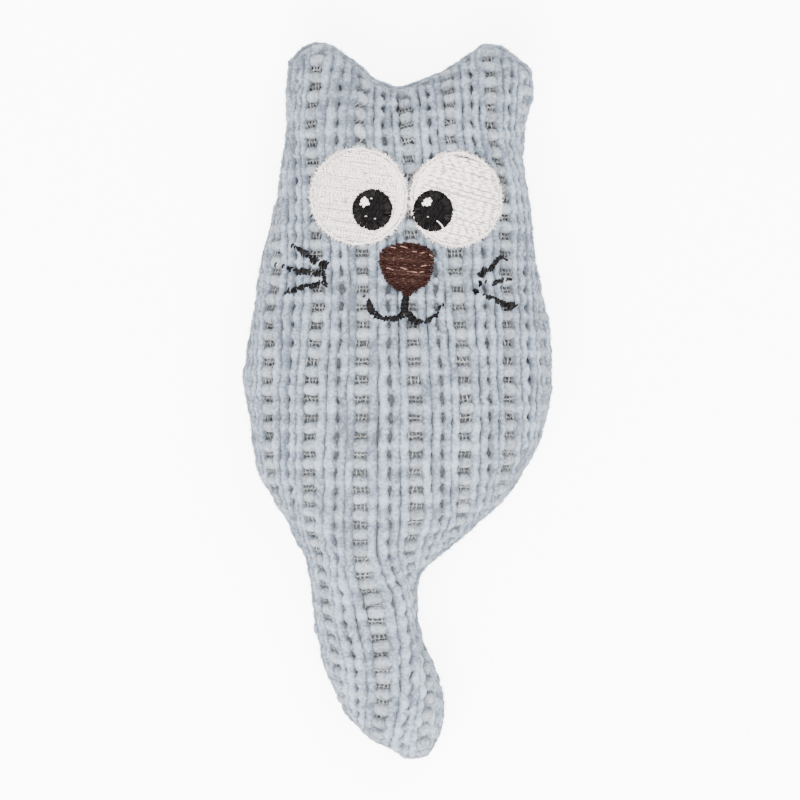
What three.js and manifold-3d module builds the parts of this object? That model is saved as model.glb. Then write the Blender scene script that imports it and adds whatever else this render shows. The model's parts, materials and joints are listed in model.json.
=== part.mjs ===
// A stuffed cat-shaped catnip toy of ribbed knit, lying on its back with its face up.
// Millimetres. +Z is up through the face, the ears point to +Y and the tail to -Y.
// The origin is on the table, under the middle of the toy.

import * as THREE from 'three';
import { mergeVertices } from 'three/addons/utils/BufferGeometryUtils.js';
import Module from 'manifold-3d';

const wasm = await Module();
wasm.setup();

// Outline, in the plane of the seam
const bodyLength = 120.2;
const tailLength = 39.8;
const earHeight = 10.1;
const headWidth = 54.2;
const bellyWidth = 68.8;
const tailWidth = 23.9;
const tailTipDepth = 9.2;

// Thickness of the filled toy
const headThickness = 27;
const bellyThickness = 35;
const tailRootThickness = 24;
const tailThickness = 21;
const earRounding = 17;
const tailTipRounding = 10;
const restDepth = 0.5;
const headRise = 2;

// Knit, seam and clearances
const clearance = 0.3;
const fabricThickness = 2.2;
const ribPitch = 11.4;
const ribDepth = 1.3;
const ribFade = 4;
const ribSnap = 0.7;
const seamLip = 1.1;
const seamDepth = 1.4;
const seamAllowance = 3.4;
const allowanceThickness = 1.1;
const seamThreadRadius = 0.28;
const seamThreadDepth = 0.5;
const closingThreadRadius = 0.36;
const closingStitchLength = 12;
const closingStitchShare = 0.645;
const fillMargin = 1.2;
const cutOverrun = 20;

// Tail joint
const tailSwayLimit = THREE.MathUtils.degToRad(30);
const tailLipMargin = THREE.MathUtils.degToRad(2);
const jointShoulder = 0.8;

// Catnip pouch
const sachetWidth = 34;
const sachetLength = 40;
const sachetThickness = 10;
const sachetWall = 0.5;
const sachetWeld = 3;
const sachetRounding = 9;
const sachetDropShare = 0.616;

// Embroidery
const threadHeight = 0.55;
const threadLift = 0.35;
const backingThickness = 0.5;
const backingMargin = 3;
const eyesOffset = 2.1;
const noseOffset = 1.8;
const eyeDrop = 34.9;
const eyeEdgingWidth = 1.2;
const noseDrop = 51.2;
const noseHeight = 11.2;
const mouthDrop = 57.9;
const mouthDepth = 5.2;
const mouthStroke = 1.5;
const whiskerDrop = 52.6;
const whiskerStroke = 1.1;
const whiskerLength = 10;
const whiskerFan = 10.6;
const leftWhiskerInset = 15.4;
const rightWhiskerInset = 14.1;

// Mesh density
const gridColumns = 12;
const gridRows = 26;
const stepsPerLadder = 4;
const arcSamples = 48;
const sachetSteps = 6;
const threadSides = 5;
const strokeStep = 1.9;
const eyeRings = 3;
const eyeSectors = 20;
const padRings = 2;
const padSectors = 14;
const backingSteps = 6;
const arcSegments = 20;

const toyLength = bodyLength + tailLength;
const earTipY = toyLength / 2;
const notchY = earTipY - earHeight;
const tailRootY = earTipY - bodyLength;
const tailTipY = -toyLength / 2;
const lastRowY = tailTipY + tailTipDepth;

// The face grows with the head
const eyeSpacingShare = 0.395;
const noseWidthShare = 0.217;
const mouthWidthShare = 0.288;
const eyeSpacing = eyeSpacingShare * headWidth;
const noseWidth = noseWidthShare * headWidth;
const mouthWidth = mouthWidthShare * headWidth;

// Rows of the outline: how far down, the width that the row follows, and how far the left and
// right seams stand from the middle as shares of that width.
const bodyRowShares = [
  [0.000, headWidth, 0.438, 0.500],
  [0.035, headWidth, 0.448, 0.524],
  [0.060, headWidth, 0.457, 0.553],
  [0.088, headWidth, 0.458, 0.557],
  [0.155, headWidth, 0.461, 0.528],
  [0.210, headWidth, 0.473, 0.516],
  [0.311, headWidth, 0.508, 0.548],
  [0.400, bellyWidth, 0.443, 0.448],
  [0.490, bellyWidth, 0.464, 0.476],
  [0.560, bellyWidth, 0.486, 0.498],
  [0.640, bellyWidth, 0.500, 0.500],
  [0.690, bellyWidth, 0.482, 0.486],
  [0.758, bellyWidth, 0.468, 0.447],
  [0.803, bellyWidth, 0.452, 0.405],
  [0.848, bellyWidth, 0.408, 0.346],
  [0.892, bellyWidth, 0.360, 0.266],
  [0.937, bellyWidth, 0.321, 0.172],
  [0.975, bellyWidth, 0.293, 0.100],
  [1.000, bellyWidth, 0.285, 0.064],
];
const tailRowShares = [
  [0.13, tailWidth, 0.800, 0.180],
  [0.28, tailWidth, 0.768, 0.196],
  [0.41, tailWidth, 0.725, 0.281],
  [0.55, tailWidth, 0.650, 0.374],
  [0.68, tailWidth, 0.552, 0.430],
  [0.77, tailWidth, 0.477, 0.432],
  [1.00, tailWidth, 0.310, 0.400],
];

// The ladder nearest the middle of the knit: how far down the body and then the tail, and how far
// it stands to the right of the middle, as a share of the width of the belly or the tail
const bodyLadderShares = [
  [0.000, -0.101], [0.085, -0.101], [0.167, -0.120], [0.553, -0.114], [0.876, -0.123], [0.954, -0.123],
];
const tailLadderShares = [
  [0.067, -0.234], [0.382, -0.131], [0.691, -0.131], [0.871, -0.196], [1.000, -0.215],
];

// Height of the top edge above the notch between the ears, across the head from left to right
const earEdgeShares = [
  [0.00, 0.58], [0.05, 0.88], [0.12, 1.00], [0.19, 0.90], [0.26, 0.66], [0.35, 0.22], [0.45, 0.00],
  [0.56, 0.20], [0.66, 0.43], [0.76, 0.72], [0.86, 0.96], [0.92, 0.90], [0.96, 0.74], [1.00, 0.50],
];
// Depth of the tail's end below its last row, from left to right
const tailEndShares = [
  [0.00, 0.00], [0.10, 0.32], [0.22, 0.58], [0.37, 0.79], [0.58, 1.00], [0.72, 0.98], [0.86, 0.80],
  [0.95, 0.46], [1.00, 0.00],
];

// Thickness, at places down the body and then down the tail
const bodyThicknessShares = [
  [0.00, headThickness],
  [0.30, headThickness],
  [0.58, bellyThickness],
  [0.72, bellyThickness],
  [1.00, tailRootThickness],
];
const tailThicknessShares = [
  [0.40, tailThickness],
  [1.00, tailThickness],
];

const headRiseFadeShare = 0.5;
const sideFullnessShare = 2.3;
const rowCrowdingShare = 0.45;
const earFadeShare = 0.34;
const tailFadeShare = 0.2;

// A smooth curve through points given as [place, value], with places rising or falling
function curveThrough(points) {
  const stops = [...points].sort((a, b) => a[0] - b[0]);
  const last = stops.length - 1;
  const slope = (a, b) => (stops[b][1] - stops[a][1]) / (stops[b][0] - stops[a][0]);
  const bend = (k) => {
    const before = slope(Math.max(k - 1, 0), Math.max(k, 1));
    const after = slope(Math.min(k, last - 1), Math.min(k + 1, last));
    return before * after > 0 ? (2 * before * after) / (before + after) : 0;
  };
  return (place) => {
    const held = THREE.MathUtils.clamp(place, stops[0][0], stops[last][0]);
    let k = 0;
    while (k < last - 1 && held > stops[k + 1][0]) k += 1;
    const span = stops[k + 1][0] - stops[k][0];
    const t = (held - stops[k][0]) / span;
    const rise = stops[k + 1][1] - stops[k][1];
    const ease = t * t * (3 - 2 * t);
    const start = t * (1 - t) * (1 - t) * span * bend(k);
    const end = t * t * (t - 1) * span * bend(k + 1);
    return stops[k][1] + rise * ease + start + end;
  };
}

function outlineRow(start, length) {
  return ([down, width, left, right]) => [start - down * length, -left * width, right * width];
}

function thicknessStop(start, length) {
  return ([down, thickness]) => [start - down * length, thickness / 2];
}

const outlineRows = [
  ...bodyRowShares.map(outlineRow(earTipY, bodyLength)),
  ...tailRowShares.map(outlineRow(tailRootY, tailLength)),
];
const thicknessStops = [
  ...bodyThicknessShares.map(thicknessStop(earTipY, bodyLength)),
  ...tailThicknessShares.map(thicknessStop(tailRootY, tailLength)),
];
const leftSeam = curveThrough(outlineRows.map(([y, left]) => [y, left]));
const rightSeam = curveThrough(outlineRows.map(([y, , right]) => [y, right]));
const earEdge = curveThrough(earEdgeShares);
const tailEnd = curveThrough(tailEndShares);
const halfThickness = curveThrough(thicknessStops);
const middleLadder = curveThrough([
  ...bodyLadderShares.map(([down, across]) => [earTipY - down * bodyLength, across * bellyWidth]),
  ...tailLadderShares.map(([down, across]) => [tailRootY - down * tailLength, across * tailWidth]),
]);
const headLift = curveThrough([
  [earTipY, headRise],
  [earTipY - headRiseFadeShare * bodyLength, 0],
  [tailTipY, 0],
]);

// The toy's pattern: where a place across and down the cloth lies, and how thick the toy is there
const toyPattern = {
  columns: gridColumns,
  rows: gridRows,
  share: (i) => crowded(i / gridColumns, 1),
  top: notchY,
  bottom: lastRowY,
  topEdge: (u) => earHeight * earEdge(u),
  bottomEdge: (u) => tailTipDepth * tailEnd(u),
  left: leftSeam,
  right: rightSeam,
  topRounding: earRounding,
  bottomRounding: tailTipRounding,
  half: halfThickness,
  middle: (y) => halfThickness(y) - restDepth + headLift(y),
};

// The pouch's pattern: a plain rectangle at the toy's belly
const sachetY = earTipY - sachetDropShare * bodyLength;
const sachetPattern = {
  columns: sachetSteps,
  rows: sachetSteps,
  share: (i) => crowded(i / sachetSteps, 1),
  top: sachetY + sachetLength / 2,
  bottom: sachetY - sachetLength / 2,
  topEdge: () => 0,
  bottomEdge: () => 0,
  left: () => -sachetWidth / 2,
  right: () => sachetWidth / 2,
  topRounding: sachetRounding,
  bottomRounding: sachetRounding,
  half: () => sachetThickness / 2,
  middle: () => toyPattern.middle(sachetY),
};

function rounded(distance, reach) {
  const rest = 1 - THREE.MathUtils.clamp(distance / reach, 0, 1);
  return Math.sqrt(1 - rest * rest);
}

function crowded(share, amount) {
  return THREE.MathUtils.lerp(share, 0.5 - 0.5 * Math.cos(Math.PI * share), amount);
}

// A point of one layer of a pattern. A layer is drawn in from the outline by its inset, starts
// its rise above the seam plane at its edge, and crowns at the pattern's half thickness less
// its depth. A flat layer stays at its rise.
function layerPoint(pattern, layer, u, v) {
  const top = pattern.top - layer.inset;
  const bottom = pattern.bottom + layer.inset;
  const down = crowded(v, rowCrowdingShare);
  const lifted = pattern.topEdge(u) * Math.max(0, 1 - down / earFadeShare) ** 2;
  const dropped = pattern.bottomEdge(u) * Math.max(0, 1 - (1 - down) / tailFadeShare) ** 2;
  const y = THREE.MathUtils.lerp(top, bottom, down) + lifted - dropped;
  const x = THREE.MathUtils.lerp(pattern.left(y) + layer.inset, pattern.right(y) - layer.inset, u);
  const fromTop = top + pattern.topEdge(u) - y;
  const fromBottom = y - bottom + pattern.bottomEdge(u);
  const across = Math.sqrt(Math.max(0, 1 - Math.abs(2 * u - 1) ** sideFullnessShare));
  const swell = across * rounded(fromTop, pattern.topRounding) * rounded(fromBottom, pattern.bottomRounding);
  const crown = layer.flat ? layer.rise : pattern.half(y) - layer.depth;
  const z = pattern.middle(y) + layer.side * (layer.rise + (crown - layer.rise) * swell);
  return new THREE.Vector3(x, y, z);
}

// The knit's points run along its ribs: a column down each ridge and each valley, at even steps
// round the cloth from the middle ladder. A column that would leave the cloth ends at its seam.
const knitFace = { side: 1, inset: 0, rise: seamLip, depth: 0 };
const ribStep = ribPitch / stepsPerLadder;
const sideColumns = Math.ceil((bellyWidth + bellyThickness) / ribStep / 2);

function ribRow(j) {
  const samples = [];
  for (let n = 0; n <= arcSamples; n += 1) {
    const u = crowded(n / arcSamples, 1);
    const point = layerPoint(toyPattern, knitFace, u, j / gridRows);
    const before = samples[n - 1];
    samples.push({ u, point, arc: before ? before.arc + before.point.distanceTo(point) : 0 });
  }
  const whole = samples[arcSamples].arc;
  const blend = (n, share, value) => THREE.MathUtils.lerp(value(samples[n - 1]), value(samples[n]), share);
  const aside = ({ point }) => point.x - middleLadder(point.y);
  const crossed = Math.max(1, samples.findIndex((sample) => aside(sample) > 0));
  const start = aside(samples[crossed - 1]);
  const middle = blend(crossed, start / (start - aside(samples[crossed])), (sample) => sample.arc);
  const row = [];
  for (let k = -sideColumns; k <= sideColumns; k += 1) {
    const arc = middle + k * ribStep;
    if (k === -sideColumns || arc < ribSnap) row.push({ u: 0, room: 0 });
    else if (k === sideColumns || arc > whole - ribSnap) row.push({ u: 1, room: 0 });
    else {
      const n = samples.findIndex((sample) => sample.arc > arc);
      const share = (arc - samples[n - 1].arc) / (samples[n].arc - samples[n - 1].arc);
      const along = samples[n].point.clone().sub(samples[n - 1].point).setY(0).normalize();
      row.push({ u: blend(n, share, (sample) => sample.u), room: Math.min(arc, whole - arc), along });
    }
  }
  return row;
}

const ribRows = Array.from({ length: gridRows + 1 }, (_, j) => ribRow(j));
const knitPattern = { ...toyPattern, columns: 2 * sideColumns, share: (i, j) => ribRows[j][i].u };

// Sinks a valley of the knit between its ridges. The relief fades out at the seam and where the
// toy lies on the table.
function sinkValley(point, side, i, j) {
  const { u, room, along } = ribRows[j][i];
  const ridge = (i - sideColumns) % 2 !== 0;
  if (ridge || room === 0) return point;
  const seamAt = (v) => layerPoint(toyPattern, knitFace, u, v).y;
  const least = Math.min(room, seamAt(0) - point.y, point.y - seamAt(1), point.z);
  const depth = ribDepth * THREE.MathUtils.clamp(least / ribFade, 0, 1);
  return point.add(new THREE.Vector3(along.z * depth, 0, -along.x * side * depth));
}

function layerGrid(pattern, layer) {
  const grid = [];
  for (let j = 0; j <= pattern.rows; j += 1) {
    const row = [];
    for (let i = 0; i <= pattern.columns; i += 1) {
      const point = layerPoint(pattern, layer, pattern.share(i, j), j / pattern.rows);
      row.push(layer.ribbed ? sinkValley(point, layer.side, i, j) : point);
    }
    grid.push(row);
  }
  return grid;
}

// Rows and columns of a grid's edge, in order round it: down the left, along the bottom, up the right
function edgePlaces(pattern) {
  const places = [];
  for (let j = 0; j < pattern.rows; j += 1) places.push([0, j]);
  for (let i = 0; i < pattern.columns; i += 1) places.push([i, pattern.rows]);
  for (let j = pattern.rows; j > 0; j -= 1) places.push([pattern.columns, j]);
  for (let i = pattern.columns; i > 0; i -= 1) places.push([i, 0]);
  return places;
}

// One point round the edge of a layer, at the height of its rise
function edgePoint(pattern, layer, [i, j]) {
  return layerPoint(pattern, { ...layer, flat: true }, pattern.share(i, j), j / pattern.rows);
}

class Faces {
  constructor() {
    this.points = [];
    this.triangles = [];
  }

  add(point) {
    this.points.push(point);
    return this.points.length - 1;
  }

  quad(a, b, c, d) {
    this.triangles.push([a, b, c], [a, c, d]);
  }

  geometry() {
    const geometry = new THREE.BufferGeometry();
    const places = this.points.flatMap((point) => point.toArray());
    geometry.setAttribute('position', new THREE.Float32BufferAttribute(places, 3));
    geometry.setIndex(this.triangles.flat());
    return geometry;
  }
}

// Adds a grid of points. Its faces point to +Z, or to -Z when turned over.
function addGrid(faces, grid, over) {
  const indices = grid.map((row) => row.map((point) => faces.add(point)));
  for (let j = 0; j + 1 < indices.length; j += 1) {
    for (let i = 0; i + 1 < indices[j].length; i += 1) {
      const [a, b] = [indices[j][i], indices[j][i + 1]];
      const [c, d] = [indices[j + 1][i + 1], indices[j + 1][i]];
      if (over) faces.quad(a, b, c, d);
      else faces.quad(a, d, c, b);
    }
  }
  return indices;
}

// A closed solid from a first layer, rings round the edge, and a last layer facing the other way
function layeredGeometry(pattern, first, rings, last) {
  const faces = new Faces();
  const places = edgePlaces(pattern);
  const turned = first.side < 0;
  const top = addGrid(faces, layerGrid(pattern, first), turned);
  const loops = [places.map(([i, j]) => top[j][i])];
  for (const ring of rings) {
    loops.push(places.map((place) => faces.add(edgePoint(pattern, ring, place))));
  }
  const bottom = addGrid(faces, layerGrid(pattern, last), !turned);
  loops.push(places.map(([i, j]) => bottom[j][i]));
  for (let k = 0; k + 1 < loops.length; k += 1) {
    for (let n = 0; n < places.length; n += 1) {
      const next = (n + 1) % places.length;
      const [a, b] = [loops[k][n], loops[k][next]];
      const [c, d] = [loops[k + 1][next], loops[k + 1][n]];
      if (turned) faces.quad(a, b, c, d);
      else faces.quad(a, d, c, b);
    }
  }
  return faces.geometry();
}

// Merges a closed surface's shared points, drops the triangles that close up, and makes it solid
function asSolid(geometry) {
  const bare = geometry.clone();
  bare.deleteAttribute('normal');
  bare.deleteAttribute('uv');
  const merged = mergeVertices(bare);
  const corners = Array.from(merged.index.array);
  const kept = corners.filter((_, n) => {
    const [a, b, c] = corners.slice(n - (n % 3), n - (n % 3) + 3);
    return a !== b && b !== c && c !== a;
  });
  return new wasm.Manifold(new wasm.Mesh({
    numProp: 3,
    vertProperties: new Float32Array(merged.attributes.position.array),
    triVerts: new Uint32Array(kept),
  }));
}

function asGeometry(solid) {
  const mesh = solid.getMesh();
  const geometry = new THREE.BufferGeometry();
  geometry.setAttribute('position', new THREE.BufferAttribute(mesh.vertProperties, 3));
  geometry.setIndex(new THREE.BufferAttribute(mesh.triVerts, 1));
  return geometry;
}

// Solids that cut the toy at the table, at the tail joint and at the closing gap
const reach = toyLength + bellyWidth;

function upright(shape, bottom, top) {
  const settings = { depth: top - bottom, bevelEnabled: false, curveSegments: arcSegments };
  const geometry = new THREE.ExtrudeGeometry(shape, settings);
  geometry.translate(0, 0, bottom);
  return asSolid(geometry);
}

function rectangle(left, right, low, high) {
  const shape = new THREE.Shape();
  shape.moveTo(left, low);
  shape.lineTo(right, low);
  shape.lineTo(right, high);
  shape.lineTo(left, high);
  return shape;
}

const underTable = upright(rectangle(-reach, reach, -reach, reach), -cutOverrun, 0);

const jointX = (leftSeam(tailRootY) + rightSeam(tailRootY)) / 2;
const jointRadius = (rightSeam(tailRootY) - leftSeam(tailRootY)) / 2 + jointShoulder;

// The body ends in a round nose that stands in the tail's hollow end
function bodySide() {
  const shape = rectangle(-reach, reach, tailRootY, reach);
  const nose = new THREE.Shape();
  nose.absarc(jointX, tailRootY, jointRadius, 0, 2 * Math.PI, false);
  return upright(shape, -cutOverrun, reach).add(upright(nose, -cutOverrun, reach));
}

// The tail's side lips are cut back so that they clear the body at both ends of the sway
function tailSide() {
  const spread = Math.PI / 2 - tailSwayLimit - tailLipMargin;
  const down = -Math.PI / 2;
  const shape = new THREE.Shape();
  shape.absarc(jointX, tailRootY, jointRadius + clearance, down - spread, down + spread, false);
  shape.lineTo(jointX + reach * Math.cos(down + spread), tailRootY + reach * Math.sin(down + spread));
  shape.lineTo(jointX + reach, tailRootY - reach);
  shape.lineTo(jointX - reach, tailRootY - reach);
  shape.lineTo(jointX + reach * Math.cos(down - spread), tailRootY + reach * Math.sin(down - spread));
  return upright(shape, -cutOverrun, reach);
}

const bodyPart = bodySide();
const tailPart = tailSide();

// Knit panels: the outer face, the seam groove, the seam allowance turned in, and the inner face
const seamRise = clearance / 2;
const allowanceRise = seamRise + allowanceThickness;
const allowanceInset = seamDepth + seamAllowance;

function panel(side, ribbed) {
  const outside = { ...knitFace, side, ribbed };
  const inside = { side, inset: fabricThickness, rise: allowanceRise, depth: fabricThickness };
  const rings = [
    { side, inset: seamDepth, rise: seamRise },
    { side, inset: allowanceInset, rise: seamRise },
    { side, inset: allowanceInset, rise: allowanceRise },
  ];
  return asSolid(layeredGeometry(knitPattern, outside, rings, inside));
}

// Filling: it stays clear of the knit, the backing sheet and the turned-in seam allowance
const fillInset = fabricThickness + 2 * clearance + backingThickness + clearance / 2;
const fillRise = allowanceRise + clearance;
const fillCore = allowanceInset + fillMargin;

function halfFilling(side) {
  const outside = { side, inset: fillInset, rise: fillRise, depth: fillInset };
  const flat = { side, inset: fillCore, rise: seamRise, flat: true };
  const rings = [{ side, inset: fillCore, rise: fillRise }];
  return asSolid(layeredGeometry(toyPattern, outside, rings, flat));
}

function wholeFilling() {
  const front = { side: 1, inset: fillInset, rise: fillRise, depth: fillInset };
  const rings = [
    { side: 1, inset: fillCore, rise: fillRise },
    { side: -1, inset: fillCore, rise: fillRise },
  ];
  return asSolid(layeredGeometry(toyPattern, front, rings, { ...front, side: -1 }));
}

// Catnip pouch
function sachetSolid(grow, rise) {
  const front = { side: 1, inset: -grow, rise, depth: -grow };
  return asSolid(layeredGeometry(sachetPattern, front, [], { ...front, side: -1 }));
}

function sachetLeaf(side) {
  const edge = seamRise + sachetWall;
  const outside = { side, inset: 0, rise: edge, depth: 0 };
  const inside = { side, inset: sachetWeld, rise: edge, depth: sachetWall };
  const rings = [
    { side, inset: 0, rise: seamRise },
    { side, inset: sachetWeld, rise: seamRise },
  ];
  return asSolid(layeredGeometry(sachetPattern, outside, rings, inside));
}

// A thread that runs round the whole seam, in its groove
function seamThread(radius) {
  const faces = new Faces();
  const places = edgePlaces(knitPattern);
  const sections = places.map((place) => {
    const section = [];
    for (let k = 0; k < threadSides; k += 1) {
      const angle = (2 * Math.PI * k) / threadSides;
      const inset = seamThreadDepth + radius * Math.cos(angle);
      const rise = radius * Math.sin(angle);
      section.push(faces.add(edgePoint(knitPattern, { side: 1, inset, rise }, place)));
    }
    return section;
  });
  for (let n = 0; n < sections.length; n += 1) {
    const here = sections[n];
    const next = sections[(n + 1) % sections.length];
    for (let k = 0; k < threadSides; k += 1) {
      const m = (k + 1) % threadSides;
      faces.quad(here[k], here[m], next[m], next[k]);
    }
  }
  return asSolid(faces.geometry());
}

// The gap for turning and filling is on the left flank, and closed by hand
const closingTop = earTipY - closingStitchShare * bodyLength + closingStitchLength / 2;
const closingBottom = closingTop - closingStitchLength;
const closingZone = (grow) => upright(
  rectangle(-reach, 0, closingBottom - grow, closingTop + grow),
  -cutOverrun,
  reach,
);
const belowGap = upright(rectangle(-reach, 0, -reach, closingBottom - clearance), -cutOverrun, reach);

const frontPanel = panel(1, true);
const backPanel = panel(-1, true).subtract(underTable);
const pocket = sachetSolid(clearance, seamRise + sachetWall + clearance);
const plainThread = seamThread(seamThreadRadius);
const bodyThread = plainThread.intersect(bodyPart);

// Embroidery lies on the ridges and spans the valleys, so its height is that of a plain front panel
const bothFaces = new THREE.MeshBasicMaterial({ side: THREE.DoubleSide });
const frontSurface = new THREE.Mesh(asGeometry(panel(1, false)), bothFaces);
const probe = new THREE.Raycaster();
const downwards = new THREE.Vector3(0, 0, -1);

function surfaceHeights(x, y) {
  probe.set(new THREE.Vector3(x, y, reach), downwards);
  return probe.intersectObject(frontSurface).map((hit) => hit.point.z);
}

const onFace = (lift) => (x, y) => surfaceHeights(x, y)[0] + lift;
const underFace = (drop) => (x, y) => surfaceHeights(x, y)[1] - drop;

// A thin slab whose faces follow a height, from rows of flat points. Each row runs to the right of
// the way that the rows advance. A closed slab joins its last row to its first.
function slab(rows, height, thickness, closed) {
  const faces = new Faces();
  const addLifted = (lift) => ([x, y]) => faces.add(new THREE.Vector3(x, y, height(x, y) + lift));
  const low = rows.map((row) => row.map(addLifted(0)));
  const high = rows.map((row) => row.map(addLifted(thickness)));
  const rowPairs = closed ? rows.length : rows.length - 1;
  const end = rows[0].length - 1;
  for (let j = 0; j < rowPairs; j += 1) {
    const next = (j + 1) % rows.length;
    for (let i = 0; i < end; i += 1) {
      faces.quad(high[j][i], high[j][i + 1], high[next][i + 1], high[next][i]);
      faces.quad(low[j][i], low[next][i], low[next][i + 1], low[j][i + 1]);
    }
    faces.quad(low[j][0], high[j][0], high[next][0], low[next][0]);
    faces.quad(low[j][end], low[next][end], high[next][end], high[j][end]);
  }
  if (!closed) {
    const last = rows.length - 1;
    for (let i = 0; i < end; i += 1) {
      faces.quad(low[0][i], low[0][i + 1], high[0][i + 1], high[0][i]);
      faces.quad(low[last][i], high[last][i], high[last][i + 1], low[last][i + 1]);
    }
  }
  return faces.geometry();
}

// A disc or ring of embroidery: spokes from an inner share of its outline to the whole of it
function roundSlab(outline, center, from, rings, sectors, lift) {
  const spokes = [];
  for (let n = 0; n < sectors; n += 1) {
    const [dx, dy] = outline(n / sectors);
    const spoke = [];
    for (let k = 0; k <= rings; k += 1) {
      const share = THREE.MathUtils.lerp(from, 1, k / rings);
      spoke.push([center.x + dx * share, center.y + dy * share]);
    }
    spokes.push(spoke);
  }
  return slab(spokes, onFace(lift), threadHeight, true);
}

function filledSlab(outline, center, rings, sectors, lift) {
  return asSolid(roundSlab(outline, center, 0, rings, sectors, lift));
}

function oval(width, height) {
  return (turn) => {
    const angle = 2 * Math.PI * turn;
    return [(width / 2) * Math.cos(angle), (height / 2) * Math.sin(angle)];
  };
}

// A stitched line of even width along a smooth flat path
function strokeSolid(points, width, lift) {
  const path = new THREE.SplineCurve(points.map(([x, y]) => new THREE.Vector2(x, y)));
  const steps = Math.max(2, Math.round(path.getLength() / strokeStep));
  const rows = [];
  for (let n = 0; n <= steps; n += 1) {
    const at = path.getPointAt(n / steps);
    const along = path.getTangentAt(n / steps);
    const [dx, dy] = [(-along.y * width) / 2, (along.x * width) / 2];
    rows.push([[at.x + dx, at.y + dy], [at.x - dx, at.y - dy]]);
  }
  return asSolid(slab(rows, onFace(lift), threadHeight, false));
}

function joinAll(solids) {
  return solids.reduce((whole, solid) => whole.add(solid));
}

// The face
const eyeY = earTipY - eyeDrop;
const secondLift = threadLift * 2 + threadHeight;
const thirdLift = threadLift * 3 + threadHeight * 2;

// Width, height and rise of each eye, as shares of the eyes' spacing
const eyeShares = { left: [0.99, 1, 0], right: [0.93, 0.98, -0.031] };
// Pupils sit low and towards the nose, at these shares of the eye's size
const pupilPlaceShares = { left: [0.139, -0.139], right: [-0.256, -0.124] };
const pupilSizeShares = [0.397, 0.43];
// Highlights sit high and to the left on the pupil
const highlightPlaceShares = [-0.19, 0.165];
const highlightSizeShare = 0.135;

function eye(name, direction) {
  const [eyeWidth, eyeHeight, eyeRise] = eyeShares[name].map((share) => share * eyeSpacing);
  const center = { x: eyesOffset + (direction * eyeSpacing) / 2, y: eyeY + eyeRise };
  const [across, up] = pupilPlaceShares[name];
  const pupilCenter = { x: center.x + across * eyeWidth, y: center.y + up * eyeHeight };
  const [pupilWidth, pupilHeight] = pupilSizeShares.map((share) => share * eyeSpacing);
  const pupil = oval(pupilWidth, pupilHeight);
  const spot = {
    x: pupilCenter.x + highlightPlaceShares[0] * pupilWidth,
    y: pupilCenter.y + highlightPlaceShares[1] * pupilHeight,
  };
  const highlightWidth = highlightSizeShare * eyeSpacing;
  const highlight = oval(highlightWidth, highlightWidth);
  const innerShare = 1 - (2 * eyeEdgingWidth) / eyeWidth;
  const whiteTrim = 2 * (eyeEdgingWidth + clearance);
  const white = oval(eyeWidth - whiteTrim, eyeHeight - whiteTrim);
  return {
    [`${name}_eye_edging`]: asSolid(
      roundSlab(oval(eyeWidth, eyeHeight), center, innerShare, 1, eyeSectors, threadLift),
    ),
    [`${name}_eye_white`]: filledSlab(white, center, eyeRings, eyeSectors, threadLift),
    [`${name}_pupil`]: filledSlab(pupil, pupilCenter, padRings, padSectors, secondLift),
    [`${name}_highlight`]: filledSlab(highlight, spot, 1, padSectors, thirdLift),
  };
}

// Nose outline: wide and round above, narrow below
const noseOutlineShares = [
  [0.00, 0.48], [0.24, 0.49], [0.43, 0.36], [0.50, 0.12], [0.43, -0.08], [0.26, -0.28], [0.10, -0.47],
  [-0.06, -0.48], [-0.27, -0.26], [-0.43, -0.06], [-0.50, 0.12], [-0.45, 0.36], [-0.26, 0.48],
];

function nose() {
  const points = noseOutlineShares.map(([x, y]) => new THREE.Vector3(x * noseWidth, y * noseHeight, 0));
  const outline = new THREE.CatmullRomCurve3(points.reverse(), true);
  const center = { x: noseOffset, y: earTipY - noseDrop };
  return filledSlab((turn) => outline.getPoint(turn).toArray(), center, padRings, padSectors, threadLift);
}

// Mouth: a short stem under the nose and one line that curls up at both ends
const smileShares = [
  [-0.50, 0.02], [-0.43, -0.50], [-0.27, -0.83], [-0.05, -0.86], [0.06, -0.92], [0.22, -1.00],
  [0.38, -0.86], [0.50, -0.32],
];
const stemShares = [[0.00, -0.06], [0.00, -0.50], [0.00, -0.90]];

function mouth() {
  const top = earTipY - mouthDrop;
  const placed = (shares) => shares.map(([x, y]) => [noseOffset + x * mouthWidth, top + y * mouthDepth]);
  const stitched = (shares) => strokeSolid(placed(shares), mouthStroke, threadLift);
  return joinAll([smileShares, stemShares].map(stitched));
}

// Whiskers: three lines that fan out from a short link, as shares of their length and fan
const whiskerLineShares = {
  left: [
    [[0.00, 0.23], [0.38, 0.46], [0.76, 0.65]],
    [[0.02, 0.00], [0.58, 0.16], [1.14, 0.27]],
    [[0.02, -0.09], [0.48, -0.24], [0.95, -0.36]],
    [[0.00, 0.26], [0.02, 0.08], [0.00, -0.12]],
  ],
  right: [
    [[0.00, 0.02], [0.39, 0.36], [0.65, 0.39]],
    [[0.03, -0.05], [0.40, -0.07], [0.80, -0.06]],
    [[-0.05, -0.36], [0.35, -0.44], [0.83, -0.63]],
    [[0.00, 0.05], [0.03, -0.15], [-0.04, -0.38]],
  ],
};

// Whiskers stand in from the seam on their own side
const whiskerY = earTipY - whiskerDrop;
const whiskerRoots = {
  left: leftSeam(whiskerY) + leftWhiskerInset,
  right: rightSeam(whiskerY) - rightWhiskerInset,
};

function whiskers(name, direction) {
  const placed = (shares) => shares.map(([x, y]) => [
    whiskerRoots[name] + direction * x * whiskerLength,
    whiskerY + y * whiskerFan,
  ]);
  const stitched = (shares) => strokeSolid(placed(shares), whiskerStroke, threadLift);
  return joinAll(whiskerLineShares[name].map(stitched));
}

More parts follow.
